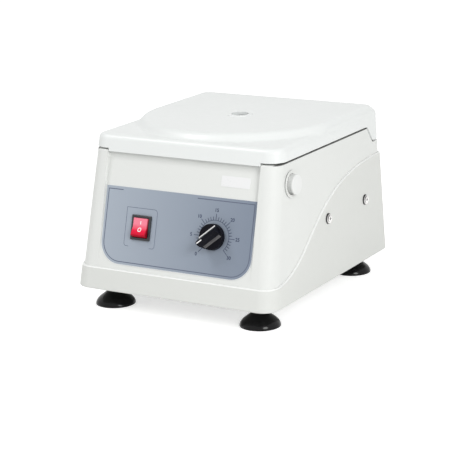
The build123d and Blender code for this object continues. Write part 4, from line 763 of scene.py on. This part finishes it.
# Release button
# A push button on the right side, moulded in the casing's resin: a round cap
# in a flanged ring. The ring is painted dark as shade where it turns from the
# side, and the cap's side is painted darker than its face as shade, darkest at its
# foot.
# Painted shade: the ring darkens where it turns from the side, and the cap's side darkens, most at its foot.
ring_edge_shade = (0.30, 0.31, 0.30)
ring_of_face = (0.81, 0.82, 0.80)
cap_foot_shadow = (0.06, 0.06, 0.06)
cap_low_shade = (0.44, 0.45, 0.44)
cap_side_shade = (0.70, 0.71, 0.70)
cap_of_face = (0.82, 0.83, 0.82)
ring_white = Finish("ring_white")
ring_flat = ring_white.facing("X", start=0.15, end=0.75)
ring_white.color(ring_white.blend(ring_flat, ring_edge_shade, ring_of_face))
ring_white.gloss(smooth=0.38, dull=0.5, blots=120)
ring_white.relief(depth=0.00005, blots=900)
dress(ring_white.material, "button_bezel")

button_low, button_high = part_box("release_button")
cap_height = button_high[2] - button_low[2]
cap_white = Finish("cap_white")
past_foot_shadow = cap_white.along("Z", button_low[2], start=0.002, end=0.007)
past_low_shade = cap_white.along("Z", button_low[2], start=0.009, end=cap_height - 0.003)
past_side_shade = cap_white.along("X", button_high[0], start=-0.0032, end=-0.0012)
cap_low_side = cap_white.blend(past_foot_shadow, cap_foot_shadow, cap_low_shade)
cap_whole_side = cap_white.blend(past_low_shade, cap_low_side, cap_side_shade)
cap_white.color(cap_white.blend(past_side_shade, cap_whole_side, cap_of_face))
cap_white.gloss(smooth=0.36, dull=0.5, blots=120)
cap_white.relief(depth=0.00005, blots=900)
dress(cap_white.material, "release_button")

# Chassis
# A galvanised steel plate screwed up under the casing's bosses, which carries
# the motor on three rubber mounts.
chassis_zinc = satin("chassis_zinc", (0.58, 0.60, 0.61), rough=0.42, wander=0.1, cloud=60, metal=1.0)
mount_rubber = satin("mount_rubber", (0.02, 0.02, 0.021), rough=0.6, wander=0.2, grain=400)
dress(chassis_zinc, "chassis_plate")
dress(zinc, "chassis_screws", "motor_screws")
dress(mount_rubber, "motor_mounts")

# Motor
# An induction motor with a dark enamelled can, a laminated stator and armature,
# two bearings and a ground steel shaft that runs up into the chamber.
motor_enamel = satin("motor_enamel", (0.10, 0.105, 0.11), rough=0.5, wander=0.1, coat=0.2)
laminations = satin(
    "laminations", (0.30, 0.30, 0.31), rough=0.45, wander=0.1, metal=1.0, stretch=(1, 1, 60))
ground_steel = satin(
    "ground_steel", (0.78, 0.78, 0.79), rough=0.2, wander=0.04, metal=1.0, stretch=(1, 1, 12))
dress(motor_enamel, "motor_housing", "motor_end_cap")
dress(laminations, "motor_stator", "motor_armature", "motor_bearings")
dress(ground_steel, "motor_shaft")

# Rotor chamber
# A bowl spun from stainless sheet, with faint rings left by the tool, hung by
# its flange in the deck.
bowl_steel = satin(
    "bowl_steel", (0.62, 0.62, 0.62), rough=0.3, wander=0.05, metal=1.0, stretch=(1, 1, 30))
dress(bowl_steel, "rotor_bowl")

# Rotor
# An angle head turned from aluminium, with six hung tube sleeves, rubber
# cushions at their feet, and a fluted nut that clamps it to the shaft.
sleeve_count = 6
sleeve_names = [f"tube_sleeve_{place}" for place in range(1, sleeve_count + 1)]
turned_aluminium = satin(
    "turned_aluminium", (0.72, 0.73, 0.74), rough=0.3, wander=0.05, metal=1.0, stretch=(1, 1, 25))
sleeve_aluminium = satin("sleeve_aluminium", (0.66, 0.67, 0.68), rough=0.38, wander=0.05, metal=1.0)
nut_aluminium = satin("nut_aluminium", (0.70, 0.71, 0.72), rough=0.26, wander=0.05, metal=1.0)
cushion_rubber = satin("cushion_rubber", (0.05, 0.05, 0.05), rough=0.6, wander=0.15, grain=400)
dress(turned_aluminium, "rotor_head")
dress(nut_aluminium, "rotor_nut")
dress(sleeve_aluminium, *sleeve_names)
dress(cushion_rubber, "tube_cushions")

# Mains inlet
# A three-pole socket in black glass-filled nylon on the back, held by two
# screws, with plated brass pins in its recess.
inlet_nylon = satin("inlet_nylon", (0.022, 0.022, 0.024), rough=0.42, wander=0.2, grain=1200)
pin_brass = satin("pin_brass", (0.76, 0.70, 0.55), rough=0.26, wander=0.05, metal=1.0)
dress(inlet_nylon, "power_inlet")
dress(pin_brass, "inlet_pins")
dress(zinc, "inlet_screws")

# Floor
# The white sweep that the instrument stands on. It keeps the soft shadow, and
# what the camera and mirrors see of it is lifted to white.
floor_half = 4.0
floor_cells = 8
floor_lift = 0.56
floor_dark = (0.86, 0.86, 0.86)
floor_pale = (0.88, 0.88, 0.88)
floor_paper = Finish("floor_paper")
floor_paper.color(floor_paper.blend(floor_paper.drift(blots=3, detail=4.0), floor_dark, floor_pale))
floor_paper.shader["Roughness"].default_value = 0.9
floor_paper.shader["Specular IOR Level"].default_value = 0.0
floor_paper.shader["Emission Color"].default_value = (1, 1, 1, 1)
floor_shown = shown_or_mirrored(floor_paper.tree)
floor_glow = floor_paper.ramp(floor_shown, start=0, end=1, high=floor_lift)
floor_paper.tree.links.new(floor_glow, floor_paper.shader["Emission Strength"])
floor_draft = bmesh.new()
bmesh.ops.create_grid(floor_draft, x_segments=floor_cells, y_segments=floor_cells, size=floor_half)
floor_mesh = bpy.data.meshes.new("floor")
floor_draft.to_mesh(floor_mesh)
floor_draft.free()
floor_mesh.materials.append(floor_paper.material)
floor = bpy.data.objects.new("floor", floor_mesh)
scene.collection.objects.link(floor)
